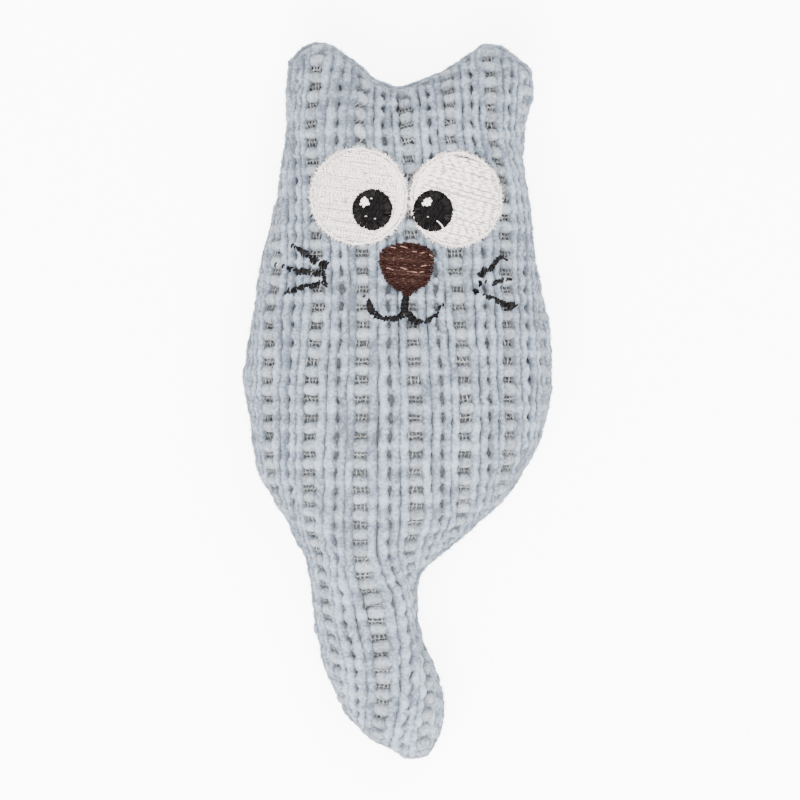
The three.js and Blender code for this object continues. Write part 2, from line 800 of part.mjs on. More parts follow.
// A flat sheet behind the face, under the knit. Grown, it is the room that the filling leaves for it.
function backing(grow) {
  const width = 2 * eyeSpacing + 2 * grow;
  const top = eyeY + eyeSpacing / 2 + grow;
  const bottom = earTipY - mouthDrop - mouthDepth - backingMargin - grow;
  const rows = [];
  for (let j = 0; j <= backingSteps; j += 1) {
    const y = THREE.MathUtils.lerp(bottom, top, j / backingSteps);
    const row = [];
    for (let i = 0; i <= backingSteps; i += 1) {
      row.push([eyesOffset + width * (i / backingSteps - 0.5), y]);
    }
    rows.push(row);
  }
  const lowest = clearance + backingThickness + grow;
  return asSolid(slab(rows, underFace(lowest), backingThickness + 2 * grow, false));
}

// Finishes
const finish = (color, roughness) => new THREE.MeshStandardMaterial({ color, roughness, metalness: 0 });
const knit = finish('#b6bfc9', 0.95);
const fillingFibre = finish('#efeee9', 1);
const catnipLeaf = finish('#7d8a4e', 1);
const muslin = finish('#e8e2d3', 0.9);
const sewingThread = finish('#c3cad2', 0.7);
const whiteThread = finish('#e2dedc', 0.6);
const blackThread = finish('#1c1b1c', 0.55);
const brownThread = finish('#5c3b33', 0.6);

const frontRoom = pocket.add(backing(clearance));
const group = new THREE.Group();

function place(name, solid, material) {
  const mesh = new THREE.Mesh(asGeometry(solid), material);
  mesh.name = name;
  group.add(mesh);
}

place('front_panel', frontPanel.intersect(bodyPart), knit);
place('back_panel', backPanel.intersect(bodyPart), knit);
place('tail_front_panel', frontPanel.intersect(tailPart), knit);
place('tail_back_panel', backPanel.intersect(tailPart), knit);
place('front_stuffing', halfFilling(1).intersect(bodyPart).subtract(frontRoom), fillingFibre);
place('back_stuffing', halfFilling(-1).intersect(bodyPart).subtract(pocket), fillingFibre);
place('tail_stuffing', wholeFilling().intersect(tailPart), fillingFibre);
place('catnip_sachet_front', sachetLeaf(1), muslin);
place('catnip_sachet_back', sachetLeaf(-1), muslin);
place('catnip_filling', sachetSolid(-(sachetWeld + clearance), seamRise), catnipLeaf);
place('embroidery_backing', backing(0), muslin);
place('body_seam_thread', bodyThread.subtract(closingZone(clearance)).subtract(belowGap), sewingThread);
place('flank_seam_thread', bodyThread.intersect(belowGap), sewingThread);
place('closing_stitch', seamThread(closingThreadRadius).intersect(closingZone(0)), sewingThread);
place('tail_seam_thread', plainThread.intersect(tailPart), sewingThread);
for (const [side, direction] of [['left', -1], ['right', 1]]) {
  for (const [name, solid] of Object.entries(eye(side, direction))) {
    const dark = name.endsWith('pupil');
    place(name, solid, dark ? blackThread : whiteThread);
  }
  place(`${side}_whiskers`, whiskers(side, direction), blackThread);
}
place('nose', nose(), brownThread);
place('mouth', mouth(), blackThread);

export default group;
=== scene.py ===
"""A stuffed cat-shaped catnip toy of ribbed chenille knit, lying on its back and seen from above."""

import json
import math

import bmesh
import bpy
import numpy as np
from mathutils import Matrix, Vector, noise
from mathutils.bvhtree import BVHTree

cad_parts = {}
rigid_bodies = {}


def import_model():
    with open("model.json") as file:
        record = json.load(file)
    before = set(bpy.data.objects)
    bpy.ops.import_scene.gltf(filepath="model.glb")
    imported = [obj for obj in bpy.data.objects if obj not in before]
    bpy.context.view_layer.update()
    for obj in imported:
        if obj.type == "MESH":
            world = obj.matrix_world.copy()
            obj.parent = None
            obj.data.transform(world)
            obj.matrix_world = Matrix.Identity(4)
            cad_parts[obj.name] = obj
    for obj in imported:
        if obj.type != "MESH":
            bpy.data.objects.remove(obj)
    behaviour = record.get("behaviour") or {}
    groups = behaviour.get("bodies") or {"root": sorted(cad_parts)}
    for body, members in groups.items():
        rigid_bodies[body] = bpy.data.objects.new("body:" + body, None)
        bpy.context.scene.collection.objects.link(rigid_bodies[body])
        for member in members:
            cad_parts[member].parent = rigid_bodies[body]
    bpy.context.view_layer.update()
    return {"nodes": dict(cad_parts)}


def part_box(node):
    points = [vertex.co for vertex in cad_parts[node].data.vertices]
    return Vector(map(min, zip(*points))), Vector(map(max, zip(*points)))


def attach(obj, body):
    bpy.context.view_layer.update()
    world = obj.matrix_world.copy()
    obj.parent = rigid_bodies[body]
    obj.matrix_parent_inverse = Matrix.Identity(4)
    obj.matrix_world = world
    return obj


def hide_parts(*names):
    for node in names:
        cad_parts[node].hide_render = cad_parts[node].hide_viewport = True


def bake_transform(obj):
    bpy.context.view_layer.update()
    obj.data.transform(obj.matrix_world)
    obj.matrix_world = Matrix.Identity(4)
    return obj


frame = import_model()
MM = 0.001


def placed(name, data):
    """A new object in the scene, at the origin."""
    made = bpy.data.objects.new(name, data)
    bpy.context.scene.collection.objects.link(made)
    return made


def mesh_object(name, points, faces, edges=(), material=None):
    mesh = bpy.data.meshes.new(name)
    mesh.from_pydata([tuple(p) for p in points], edges, faces)
    mesh.update()
    if material:
        mesh.materials.append(material)
    return placed(name, mesh)


# Camera, floor and light

CAMERA_PLACE = (0.00045, -0.0002, 2.997)
CAMERA_LENS, SENSOR_WIDTH, FAR_CLIP = 600, 36, 20
FLOOR_HALF = 6.0
WORLD_STRENGTH = 1.95
# Each soft box: place, size and watts
SOFTBOXES = {"key_light": ((-0.11, -0.40, 0.63), 0.52, 16.5), "fill_light": ((0.45, 0.7, 1.3), 0.9, 28)}
LIGHT_AIM = Vector((0, 0, 0.01))
# How much more the floor glows to the camera, and how much it glows in any case
FLOOR_GLOW_SEEN, FLOOR_GLOW = 6.2, 0.55


def make_camera():
    data = bpy.data.cameras.new("camera")
    data.lens, data.sensor_width, data.clip_end = CAMERA_LENS, SENSOR_WIDTH, FAR_CLIP
    camera = placed("camera", data)
    camera.location = CAMERA_PLACE
    bpy.context.scene.camera = camera


def make_floor(material):
    corners = [(x * FLOOR_HALF, y * FLOOR_HALF, 0) for x, y in ((-1, -1), (1, -1), (1, 1), (-1, 1))]
    mesh_object("floor", corners, [(0, 1, 2, 3)], material=material)


def make_light():
    world = bpy.data.worlds.new("studio")
    world.use_nodes = True
    background = world.node_tree.nodes["Background"]
    background.inputs["Color"].default_value = (1, 1, 1, 1)
    background.inputs["Strength"].default_value = WORLD_STRENGTH
    bpy.context.scene.world = world
    for name, (place, size, watts) in SOFTBOXES.items():
        data = bpy.data.lights.new(name, "AREA")
        data.shape = "RECTANGLE"
        data.size, data.size_y, data.energy = size, size, watts
        lamp = placed(name, data)
        lamp.location = place
        lamp.rotation_euler = (LIGHT_AIM - Vector(place)).to_track_quat("-Z", "Y").to_euler()


# Node trees


def new_tree(name, kind, inputs, outputs):
    """A node tree and what comes into it. Inputs are {name: (socket, value)}, outputs {name: socket}."""
    tree = bpy.data.node_groups.new(name, kind)
    for label, (socket_kind, value) in inputs.items():
        socket = tree.interface.new_socket(label, in_out="INPUT", socket_type="NodeSocket" + socket_kind)
        if value is not None:
            socket.default_value = value
    for label, socket_kind in outputs.items():
        tree.interface.new_socket(label, in_out="OUTPUT", socket_type="NodeSocket" + socket_kind)
    return tree, tree.nodes.new("NodeGroupInput").outputs


def add(tree, kind, inputs=(), **settings):
    """A new node with its settings. Each input takes a value or another node's output."""
    node = tree.nodes.new(kind)
    for key, value in settings.items():
        setattr(node, key, value)
    for key, value in dict(inputs).items():
        if isinstance(value, bpy.types.NodeSocket):
            tree.links.new(value, node.inputs[key])
        else:
            node.inputs[key].default_value = value
    return node


def reckon(tree, operation, *values, clamp=False):
    """The output of a math node on values or outputs."""
    node = add(tree, "ShaderNodeMath", dict(enumerate(values)), operation=operation, use_clamp=clamp)
    return node.outputs[0]


# Materials


def tone(rgb):
    """A display colour as the linear colour that the nodes take."""
    parts = [c / 255 for c in rgb]
    return tuple(c / 12.92 if c < 0.04045 else ((c + 0.055) / 1.055) ** 2.4 for c in parts) + (1,)


def make_heather_group():
    """Mixed yarn colour: two tones by the strand's shade value, which holds its own tone and, on the knit,
    painted shade and light; broken up by two sizes of noise, and painted darker the less it faces out of the
    knit, as painted shade in the valleys."""
    group, given = new_tree("heather", "ShaderNodeTree", {
        "Light": ("Color", (0.6, 0.6, 0.6, 1)), "Dark": ("Color", (0.4, 0.4, 0.4, 1)),
        "Patch Size": ("Float", 260.0), "Patch": ("Float", 1.0), "Fleck Size": ("Float", 2600.0),
        "Fleck": ("Float", 0.35), "Painted Valley Shade": ("Float", 0.4),
    }, {"Color": "Color"})
    place = add(group, "ShaderNodeTexCoord").outputs["Object"]
    shade, crown = (add(group, "ShaderNodeAttribute", attribute_name=label).outputs["Fac"]
                    for label in ("shade", "crown"))
    mottling = []
    for label, detail in (("Patch", 2), ("Fleck", 3)):
        cloud = add(group, "ShaderNodeTexNoise", {"Vector": place, "Scale": given[label + " Size"],
                                                  "Detail": detail})
        centred = reckon(group, "SUBTRACT", cloud.outputs["Fac"], 0.5)
        mottling.append(reckon(group, "MULTIPLY", centred, given[label]))
    # Painted shade: darker the less the strand faces out of the knit
    valley = reckon(group, "MULTIPLY", reckon(group, "SUBTRACT", crown, 1.0), given["Painted Valley Shade"])
    shaded = reckon(group, "ADD", shade, valley)
    total = reckon(group, "ADD", shaded, reckon(group, "ADD", *mottling), clamp=True)
    blend = add(group, "ShaderNodeMix", {"Factor": total, 6: given["Dark"], 7: given["Light"]},
                data_type="RGBA")
    add(group, "NodeGroupOutput", {"Color": blend.outputs[2]})
    return group


def make_fuzz_group():
    """Fine pile or filament relief, from noise at a chosen size."""
    group, given = new_tree("fuzz", "ShaderNodeTree", {
        "Size": ("Float", 2400.0), "Strength": ("Float", 0.6), "Depth": ("Float", 0.0002),
    }, {"Normal": "Vector"})
    place = add(group, "ShaderNodeTexCoord").outputs["Object"]
    grain = add(group, "ShaderNodeTexNoise", {"Vector": place, "Scale": given["Size"], "Detail": 4,
                                              "Roughness": 0.6})
    bump = add(group, "ShaderNodeBump", {"Height": grain.outputs["Fac"], "Strength": given["Strength"],
                                         "Distance": given["Depth"]})
    add(group, "NodeGroupOutput", {"Normal": bump.outputs["Normal"]})
    return group


heather, fuzz = make_heather_group(), make_fuzz_group()
MOTTLING_AND_PAINTED_SHADE_INPUTS = ("Patch Size", "Patch", "Fleck Size", "Fleck", "Painted Valley Shade")
RELIEF_INPUTS = ("Size", "Strength", "Depth")
# Each finish: light and dark tone, mottling whose last value is painted valley shade, relief, roughness,
# sheen and gloss
FINISHES = {
    "chenille_yarn": ((177, 191, 207), (97, 107, 121), (260, 1.0, 1300, 1.9, 1.0), (1900, 1.0, 0.0011),
                      0.95, 0.25, 0.1),
    "ladder_yarn": ((177, 185, 194), (105, 112, 120), (300, 0.8, 1300, 1.9, 0.65), (1900, 1.0, 0.0011),
                    0.95, 0.2, 0.1),
    # The knit's ground, its dark tones painted shade deep in the knit's gaps
    "ground_yarn_painted_shade": ((130, 135, 140), (66, 69, 73), (500, 1.0, 1800, 1.2, 0.0), (1800, 0.8, 0.0003),
                    0.95, 0.05, 0.05),
    "loop_yarn": ((168, 169, 168), (84, 86, 88), (500, 0.6, 3200, 0.6, 0.5), (4200, 0.4, 0.0001),
                  0.8, 0.05, 0.1),
    "white_embroidery": ((255, 244, 240), (150, 140, 137), (700, 0.6, 2200, 1.3, 0.35),
                         (5000, 0.35, 0.0001), 0.40, 0.05, 0.45),
    "black_embroidery": ((37, 34, 34), (3, 3, 3), (500, 0.5, 2600, 0.5, 0.4), (5000, 0.35, 0.0001),
                         0.6, 0.0, 0.06),
    "brown_embroidery": ((176, 134, 120), (29, 8, 5), (900, 0.05, 2600, 0.075, 0.035),
                         (5000, 0.4, 0.0001), 0.6, 0.0, 0.08),
    "seam_thread": ((162, 171, 183), (116, 126, 139), (400, 0.5, 3000, 0.3, 0.3), (5000, 0.4, 0.0001),
                    0.7, 0.1, 0.2),
    "polyester_fibre": ((244, 243, 240), (200, 199, 195), (180, 1.0, 1400, 0.9, 0.0), (900, 0.9, 0.0008),
                        1.0, 0.4, 0.1),
    "muslin_cloth": ((236, 231, 218), (196, 189, 173), (200, 1.0, 2200, 0.7, 0.0), (2800, 0.6, 0.0002),
                     0.95, 0.15, 0.1),
    "dried_leaf": ((150, 158, 104), (78, 88, 50), (500, 1.0, 1600, 0.9, 0.0), (900, 1.0, 0.0009),
                   1.0, 0.05, 0.1),
}


def new_material(name, values):
    """A material with its shader's constant values, its node tree and its shader."""
    material = bpy.data.materials.new(name)
    material.use_nodes = True
    shader = material.node_tree.nodes["Principled BSDF"]
    for label, value in values.items():
        shader.inputs[label].default_value = value
    return material, material.node_tree, shader


def make_fabric(name, light, dark, mottling, relief, roughness, sheen, gloss):
    """A material of yarn, thread or fibre, with its heather and painted valley shade, relief, roughness and
    sheen.
    """
    material, tree, shader = new_material(name, {
        "Roughness": roughness, "Sheen Weight": sheen, "Sheen Roughness": 0.5, "Specular IOR Level": gloss})
    tones = {"Light": tone(light), "Dark": tone(dark)}
    colour = add(tree, "ShaderNodeGroup", tones | dict(zip(MOTTLING_AND_PAINTED_SHADE_INPUTS, mottling)), node_tree=heather)
    bump = add(tree, "ShaderNodeGroup", dict(zip(RELIEF_INPUTS, relief)), node_tree=fuzz)
    tree.links.new(colour.outputs["Color"], shader.inputs["Base Color"])
    tree.links.new(bump.outputs["Normal"], shader.inputs["Normal"])
    return material


def make_floor_paint():
    material, tree, shader = new_material("floor_paint", {
        "Base Color": (0.93, 0.93, 0.93, 1), "Roughness": 0.9, "Specular IOR Level": 0.1,
        "Emission Color": (1, 1, 1, 1)})
    seen = add(tree, "ShaderNodeLightPath").outputs["Is Camera Ray"]
    glow = reckon(tree, "MULTIPLY_ADD", seen, FLOOR_GLOW_SEEN, FLOOR_GLOW)
    tree.links.new(glow, shader.inputs["Emission Strength"])
    return material


fabrics = {name: make_fabric(name, *finish) for name, finish in FINISHES.items()}

# The toy's outline and fullness. Shares are of the sizes that stand beside them.

EAR_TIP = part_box("front_panel")[1].y
TAIL_TIP = -EAR_TIP
HEAD_WIDTH = 54.2 * MM
BELLY_WIDTH = 68.8 * MM
TAIL_WIDTH = 23.9 * MM
BODY_LENGTH = 120.2 * MM
TAIL_LENGTH = 39.8 * MM
EAR_HEIGHT = 10.1 * MM
TAIL_TIP_DEPTH = 9.2 * MM
TAIL_ROOT = EAR_TIP - BODY_LENGTH
REST_DEPTH = 0.5 * MM
HEAD_RISE = 2 * MM
TOP_ROUNDING = 17 * MM
BOTTOM_ROUNDING = 10 * MM
SEAM_LIP = 1.1 * MM

# Rows down the body: how far down, and the seam's places left and right of the middle
BODY_ROW_SHARES = {
    HEAD_WIDTH: [
        (0.000, 0.438, 0.500), (0.035, 0.448, 0.524), (0.060, 0.457, 0.553), (0.088, 0.458, 0.557),
        (0.155, 0.461, 0.528), (0.210, 0.473, 0.516), (0.311, 0.508, 0.548)],
    BELLY_WIDTH: [
        (0.400, 0.443, 0.448), (0.490, 0.464, 0.476), (0.560, 0.486, 0.498), (0.640, 0.500, 0.500),
        (0.690, 0.482, 0.486), (0.758, 0.468, 0.447), (0.803, 0.452, 0.405), (0.848, 0.408, 0.346),
        (0.892, 0.360, 0.266), (0.937, 0.321, 0.172), (0.975, 0.293, 0.100), (1.000, 0.285, 0.064)],
}
TAIL_ROW_SHARES = [
    (0.13, 0.800, 0.180), (0.28, 0.768, 0.196), (0.41, 0.725, 0.281), (0.55, 0.650, 0.374),
    (0.68, 0.552, 0.430), (0.77, 0.477, 0.432), (1.00, 0.310, 0.400),
]
EAR_EDGE_SHARES = [
    (0.00, 0.58), (0.05, 0.88), (0.12, 1.00), (0.19, 0.90), (0.26, 0.66), (0.35, 0.22), (0.45, 0.00),
    (0.56, 0.20), (0.66, 0.43), (0.76, 0.72), (0.86, 0.96), (0.92, 0.90), (0.96, 0.74), (1.00, 0.50),
]
TAIL_END_SHARES = [
    (0.00, 0.00), (0.06, 0.32), (0.15, 0.58), (0.32, 0.80), (0.60, 1.06), (0.76, 1.02), (0.89, 0.83),
    (0.96, 0.50), (1.00, 0.00),
]


def curve_through(points):
    """A smooth curve through (place, value) points that never overshoots them."""
    stops = sorted(points)
    places = np.array([p for p, _ in stops])
    values = np.array([v for _, v in stops])
    slopes = np.diff(values) / np.diff(places)
    before = np.concatenate([[slopes[0]], slopes])
    after = np.concatenate([slopes, [slopes[-1]]])
    product = before * after
    safe = np.where(np.abs(before + after) < 1e-12, 1, before + after)
    bends = np.where(product > 0, 2 * product / safe, 0)

    def value_at(place):
        held = np.clip(place, places[0], places[-1])
        k = np.clip(np.searchsorted(places, held) - 1, 0, len(slopes) - 1)
        span = places[k + 1] - places[k]
        t = (held - places[k]) / span
        ease = t * t * (3 - 2 * t)
        start = t * (1 - t) ** 2 * span * bends[k]
        end = t * t * (t - 1) * span * bends[k + 1]
        return values[k] + (values[k + 1] - values[k]) * ease + start + end

    return value_at


outline_rows = [(EAR_TIP - d * BODY_LENGTH, -a * width, b * width)
                for width, rows in BODY_ROW_SHARES.items() for d, a, b in rows]
outline_rows += [(TAIL_ROOT - d * TAIL_LENGTH, -a * TAIL_WIDTH, b * TAIL_WIDTH)
                 for d, a, b in TAIL_ROW_SHARES]
left_seam = curve_through([(y, a) for y, a, _ in outline_rows])
right_seam = curve_through([(y, b) for y, _, b in outline_rows])
ear_edge = curve_through(EAR_EDGE_SHARES)
tail_end = curve_through(TAIL_END_SHARES)
half_thickness = curve_through([
    (EAR_TIP, 13.5 * MM), (EAR_TIP - 0.30 * BODY_LENGTH, 13.5 * MM),
    (EAR_TIP - 0.58 * BODY_LENGTH, 17.5 * MM), (EAR_TIP - 0.72 * BODY_LENGTH, 17.5 * MM),
    (TAIL_ROOT, 12 * MM), (TAIL_ROOT - 0.40 * TAIL_LENGTH, 10.5 * MM), (TAIL_TIP, 10.5 * MM),
])
head_lift = curve_through([(EAR_TIP, HEAD_RISE), (EAR_TIP - 0.5 * BODY_LENGTH, 0), (TAIL_TIP, 0)])

COLUMNS, ROWS = 96, 216
# Share of the rows that lie evenly, shares of the length over which the ears' and the tail end's
# shapes fade out, and how square the toy is across
EVEN_ROWS, EAR_FADE, TAIL_END_FADE, SQUARENESS = 0.55, 0.34, 0.2, 2.3


def rounded(distance, reach):
    rest = 1 - np.clip(distance / reach, 0, 1)
    return np.sqrt(1 - rest * rest)


def layer_points(side, inset, rise, depth, columns=COLUMNS, rows=ROWS):
    """A grid of points on one side of the toy: drawn in from the seam by inset, standing off the seam
    plane by rise at the edge, and depth under the knit's face at the crown."""
    u = 0.5 - 0.5 * np.cos(np.pi * np.linspace(0, 1, columns + 1))[None, :]
    v = np.linspace(0, 1, rows + 1)[:, None]
    down = v * EVEN_ROWS + (0.5 - 0.5 * np.cos(np.pi * v)) * (1 - EVEN_ROWS)
    top = EAR_TIP - EAR_HEIGHT - inset
    bottom = TAIL_TIP + TAIL_TIP_DEPTH + inset
    lifted = EAR_HEIGHT * ear_edge(u) * np.maximum(0, 1 - down / EAR_FADE) ** 2
    dropped = TAIL_TIP_DEPTH * tail_end(u) * np.maximum(0, 1 - (1 - down) / TAIL_END_FADE) ** 2
    y = top + (bottom - top) * down + lifted - dropped
    left, right = left_seam(y) + inset, right_seam(y) - inset
    x = left + (right - left) * u
    across = np.sqrt(np.maximum(0, 1 - np.abs(2 * u - 1) ** SQUARENESS))
    swell = (across * rounded(top + EAR_HEIGHT * ear_edge(u) - y, TOP_ROUNDING)
             * rounded(y - bottom + TAIL_TIP_DEPTH * tail_end(u), BOTTOM_ROUNDING))
    crown = half_thickness(y) - depth
    middle = half_thickness(y) - REST_DEPTH + head_lift(y)
    z = middle + side * (rise + (crown - rise) * swell)
    return np.stack([x, y, z], axis=2)


# Grids and lines


def smooth(field, times, down_only=False):
    for _ in range(times):
        inner = field.copy()
        inner[1:-1] = (field[:-2] + 2 * field[1:-1] + field[2:]) / 4
        field = inner
        if not down_only:
            inner = field.copy()
            inner[:, 1:-1] = (field[:, :-2] + 2 * field[:, 1:-1] + field[:, 2:]) / 4
            field = inner
    return field


def sample_grid(grid, j, i):
    """A grid's values at rows j and columns i, which may lie between its own."""
    j0 = np.clip(np.floor(j).astype(int), 0, grid.shape[0] - 2)
    i0 = np.clip(np.floor(i).astype(int), 0, grid.shape[1] - 2)
    fj, fi = j - j0, i - i0
    if grid.ndim == 3:
        fj, fi = fj[..., None], fi[..., None]
    top = grid[j0, i0] * (1 - fi) + grid[j0, i0 + 1] * fi
    low = grid[j0 + 1, i0] * (1 - fi) + grid[j0 + 1, i0 + 1] * fi
    return top * (1 - fj) + low * fj


def spread(coarse, rows, columns):
    """A coarse grid's values at the places of a finer one."""
    places = [np.linspace(0, size - 1, count + 1) for size, count in zip(coarse.shape, (rows, columns))]
    return sample_grid(coarse, *np.meshgrid(*places, indexing="ij"))


def unit(vectors):
    return vectors / np.maximum(np.linalg.norm(vectors, axis=-1, keepdims=True), 1e-12)


def arc_of(points):
    """How far along a line each of its points is."""
    return np.concatenate([[0], np.cumsum(np.linalg.norm(np.diff(points, axis=0), axis=1))])


def grid_arc(points, axis):
    """How far over the cloth each place of a grid is from the grid's first one along an axis."""
    steps = np.linalg.norm(np.diff(points, axis=axis), axis=2)
    return np.insert(np.cumsum(steps, axis=axis), 0, 0, axis=axis)


def line_at(at, arc, values):
    """The values of a line's points, at places of its arc."""
    return np.stack([np.interp(at, arc, column) for column in values.T], axis=-1)


def cells(index):
    """The corners of each cell of a grid of point numbers, in turn round the cell."""
    return np.stack([index[:-1, :-1], index[:-1, 1:], index[1:, 1:], index[1:, :-1]], axis=2).reshape(-1, 4)


# A cell's corners in turn the other way
OTHER_WAY = [0, 3, 2, 1]


def closed_skin(front, back):
    """Vertices and faces of a closed bag from a front and a back grid that share their edge, and the
    numbers of the back's vertices."""
    inner = np.zeros(front.shape[:2], bool)
    inner[1:-1, 1:-1] = True
    index = np.arange(inner.size).reshape(inner.shape)
    back_index = index.copy()
    back_index[inner] = inner.size + np.arange(inner.sum())
    edged = np.where(inner[..., None], front, (front + back) / 2)
    points = np.concatenate([edged.reshape(-1, 3), back[inner]])
    faces = np.stack([cells(index)[:, OTHER_WAY], cells(back_index)], axis=1).reshape(-1, 4)
    return points, faces.tolist(), back_index


# The cloth simulation

SIM_COLUMNS, SIM_ROWS, SIM_FRAMES = 32, 72, 20
# How far the bag is drawn in from the seam, stands off the seam's plane and lies under the knit's face
BAG_LAYER = (1.2 * MM, 0.2 * MM, 1.9 * MM)
CLOTH = {"quality": 6, "mass": 0.2, "use_pressure": True, "uniform_pressure_force": 4,
         "tension_stiffness": 20, "compression_stiffness": 20, "bending_stiffness": 0.6}
MOVE_CAP = 1.1 * MM
# Grid steps from the seam, which the sewing holds in place, to where the cloth moves freely
SEAM_HOLD = 5


def stuffed_moves():
    """How far the filling pushes the cloth at each place of the front and the back, from a cloth
    simulation of the bag under pressure."""
    grids = [layer_points(side, *BAG_LAYER, SIM_COLUMNS, SIM_ROWS) for side in (1, -1)]
    points, faces, back_index = closed_skin(*grids)
    bag = mesh_object("bag", points, faces)
    settings = bag.modifiers.new("cloth", "CLOTH").settings
    for label, value in CLOTH.items():
        setattr(settings, label, value)
    settings.effector_weights.gravity = 0
    scene = bpy.context.scene
    for number in range(1, SIM_FRAMES + 1):
        scene.frame_set(number)
    settled = np.zeros(len(points) * 3)
    bag.evaluated_get(bpy.context.evaluated_depsgraph_get()).data.vertices.foreach_get("co", settled)
    moves = settled.reshape(-1, 3) - points
    scene.frame_set(1)
    bpy.data.objects.remove(bag)
    lengths = np.linalg.norm(moves, axis=1, keepdims=True)
    moves *= MOVE_CAP * np.tanh(lengths / MOVE_CAP) / np.maximum(lengths, 1e-9)
    rows, columns = back_index.shape
    j, i = np.arange(rows)[:, None], np.arange(columns)[None, :]
    from_seam = np.minimum(np.minimum(j, rows - 1 - j), np.minimum(i, columns - 1 - i))
    held = np.clip(from_seam / SEAM_HOLD, 0, 1)[..., None]
    fields = (moves[:rows * columns].reshape(rows, columns, 3), moves[back_index])
    return [smooth(field * held, 1) * np.clip(held * 4, 0, 1) for field in fields]


# Knit: where each rib runs

PIXEL = 0.22346 * MM
# Ribs by number, whole numbers at the ladders, along places of the front seen from above
RIB_GUIDES = {
    -3: [(268, 290), (267, 328), (266, 425), (268, 470)],
    -2: [(323, 40), (323, 59), (308, 145), (319, 299), (313, 360), (310, 404), (308, 534), (309, 545)],
    -1: [(367, 40), (367, 87), (361, 131), (363, 338), (360, 512), (360, 554), (373, 591), (384, 647),
         (384, 702), (377, 734), (375, 760)],
    0: [(403, 40), (403, 93), (411, 168), (412, 300), (416, 400), (417, 480), (418, 540)],
    1: [(444, 40), (444, 84), (451, 129), (456, 273), (462, 338), (468, 404), (464, 512), (462, 540)],
    2: [(486, 40), (486, 59), (493, 152), (507, 190), (510, 360), (512, 425), (511, 470)],
    -1.47: [(332, 558), (343, 613), (355, 665), (356, 711), (352, 735)],
    -0.47: [(394, 561), (405, 591), (414, 647), (412, 702), (403, 730), (400, 760)],
}
RIB_PITCH = 11.4 * MM
NARROW_RIB, WIDE_RIB = 7.5 * MM, 15 * MM
# How far in from the seam a guide counts
GUIDE_MARGIN = 1.5 * MM
BODY_COURSE, TAIL_COURSE = 4.2 * MM, 3.65 * MM
# Where the tail's courses end and the body's begin
COURSE_CHANGE = (-46 * MM, -30 * MM)
# How low the knit's face may come over the table
FACE_LOWEST = 1.2 * MM
# Rows that a rib has to run through to count
SHORTEST_RUN = 7


def place_of(px, py):
    return (px - 398) * PIXEL, (399 - py) * PIXEL


guides = {}
for rib, path in RIB_GUIDES.items():
    spots = np.array([place_of(px, py) for px, py in path])[::-1]
    guides[rib] = (spots[:, 1], spots[:, 0])


def rib_field(points, shift):
    """The rib number at each place of a grid, whole at the ladders' centres, and the ribs' scale there."""
    arc = grid_arc(points, 1)
    field = np.zeros(arc.shape)
    for j, (row, row_arc) in enumerate(zip(points, arc)):
        x, y = row[:, 0], row[len(row) // 2, 1]
        known = []
        for rib, (ys, xs) in guides.items():
            if ys[0] <= y <= ys[-1]:
                at = np.interp(y, ys, xs)
                if x[0] + GUIDE_MARGIN < at < x[-1] - GUIDE_MARGIN:
                    known.append((np.interp(at, x, row_arc), rib))
        at, ribs = np.array(sorted(known), float).T
        keep = np.concatenate([[True], np.diff(ribs) > 0])
        at, ribs = at[keep], ribs[keep]
        field[j] = np.interp(row_arc, at, ribs)
        early, late = row_arc < at[0], row_arc > at[-1]
        field[j][early] = ribs[0] - (at[0] - row_arc[early]) / RIB_PITCH
        field[j][late] = ribs[-1] + (row_arc[late] - at[-1]) / RIB_PITCH
    field = smooth(field, 24, down_only=True)
    width = np.gradient(arc, axis=1) / np.maximum(np.gradient(field, axis=1), 1e-6)
    width = smooth(np.clip(width, NARROW_RIB, WIDE_RIB), 4)
    return field + shift, width / RIB_PITCH


def course_pitch(y):
    return np.interp(y, COURSE_CHANGE, [TAIL_COURSE, BODY_COURSE])


class Side:
    """One face of the toy: its knit surface, its normals and its ribs."""

    def __init__(self, side, moves, shift):
        self.side = side
        self.points = layer_points(side, 0, SEAM_LIP, 0) + moves
        self.points[..., 2] = np.maximum(self.points[..., 2], FACE_LOWEST)
        across = np.gradient(self.points, axis=1)
        normals = unit(np.cross(np.gradient(self.points, axis=0), across) * side)
        self.normals = unit(smooth(normals, 2))
        self.across = unit(across)
        self.ribs, self.scale = rib_field(self.points, shift)

    def rib_paths(self, rib):
        """Rows and columns of the grid that a rib runs through, as unbroken runs."""
        runs = [[]]
        for j, row in enumerate(self.ribs):
            if row[0] < rib < row[-1]:
                runs[-1].append((j, np.interp(rib, row, np.arange(COLUMNS + 1))))
            elif runs[-1]:
                runs.append([])
        return [np.array(run) for run in runs if len(run) >= SHORTEST_RUN]

    def courses(self, run):
        """The course number at each row of a run, level with its neighbours at the waist."""
        spots = sample_grid(self.points, run[:, 0], run[:, 1])
        steps = np.linalg.norm(np.diff(spots, axis=0), axis=1)
        middle = (spots[1:, 1] + spots[:-1, 1]) / 2
        count = np.concatenate([[0], np.cumsum(steps / course_pitch(middle))])
        start = int(np.argmin(np.abs(spots[:, 1])))
        levels = np.linspace(0, spots[start, 1], 20)
        return count - count[start] - np.trapz(1 / course_pitch(levels), levels)


front_moves, back_moves = (spread(moves, ROWS, COLUMNS) for moves in stuffed_moves())
front = Side(1, front_moves, 0.0)
back = Side(-1, back_moves, 0.37)

grid_index = np.arange((ROWS + 1) * (COLUMNS + 1)).reshape(ROWS + 1, COLUMNS + 1)
face_tree = BVHTree.FromPolygons(front.points.reshape(-1, 3).tolist(),
                                 cells(grid_index)[:, OTHER_WAY].tolist())
# Height from which the face is looked for
ABOVE = 0.2


def on_face(x, y, lift):
    """The place above (x, y) of the plan, standing off the knit's face by lift."""
    spot, normal, _, _ = face_tree.ray_cast(Vector((x, y, ABOVE)), Vector((0, 0, -1)))
    if spot is None:
        return None
    return spot + normal * (-lift if normal.z < 0 else lift)


# Strands: one geometry node tree sweeps every yarn and thread


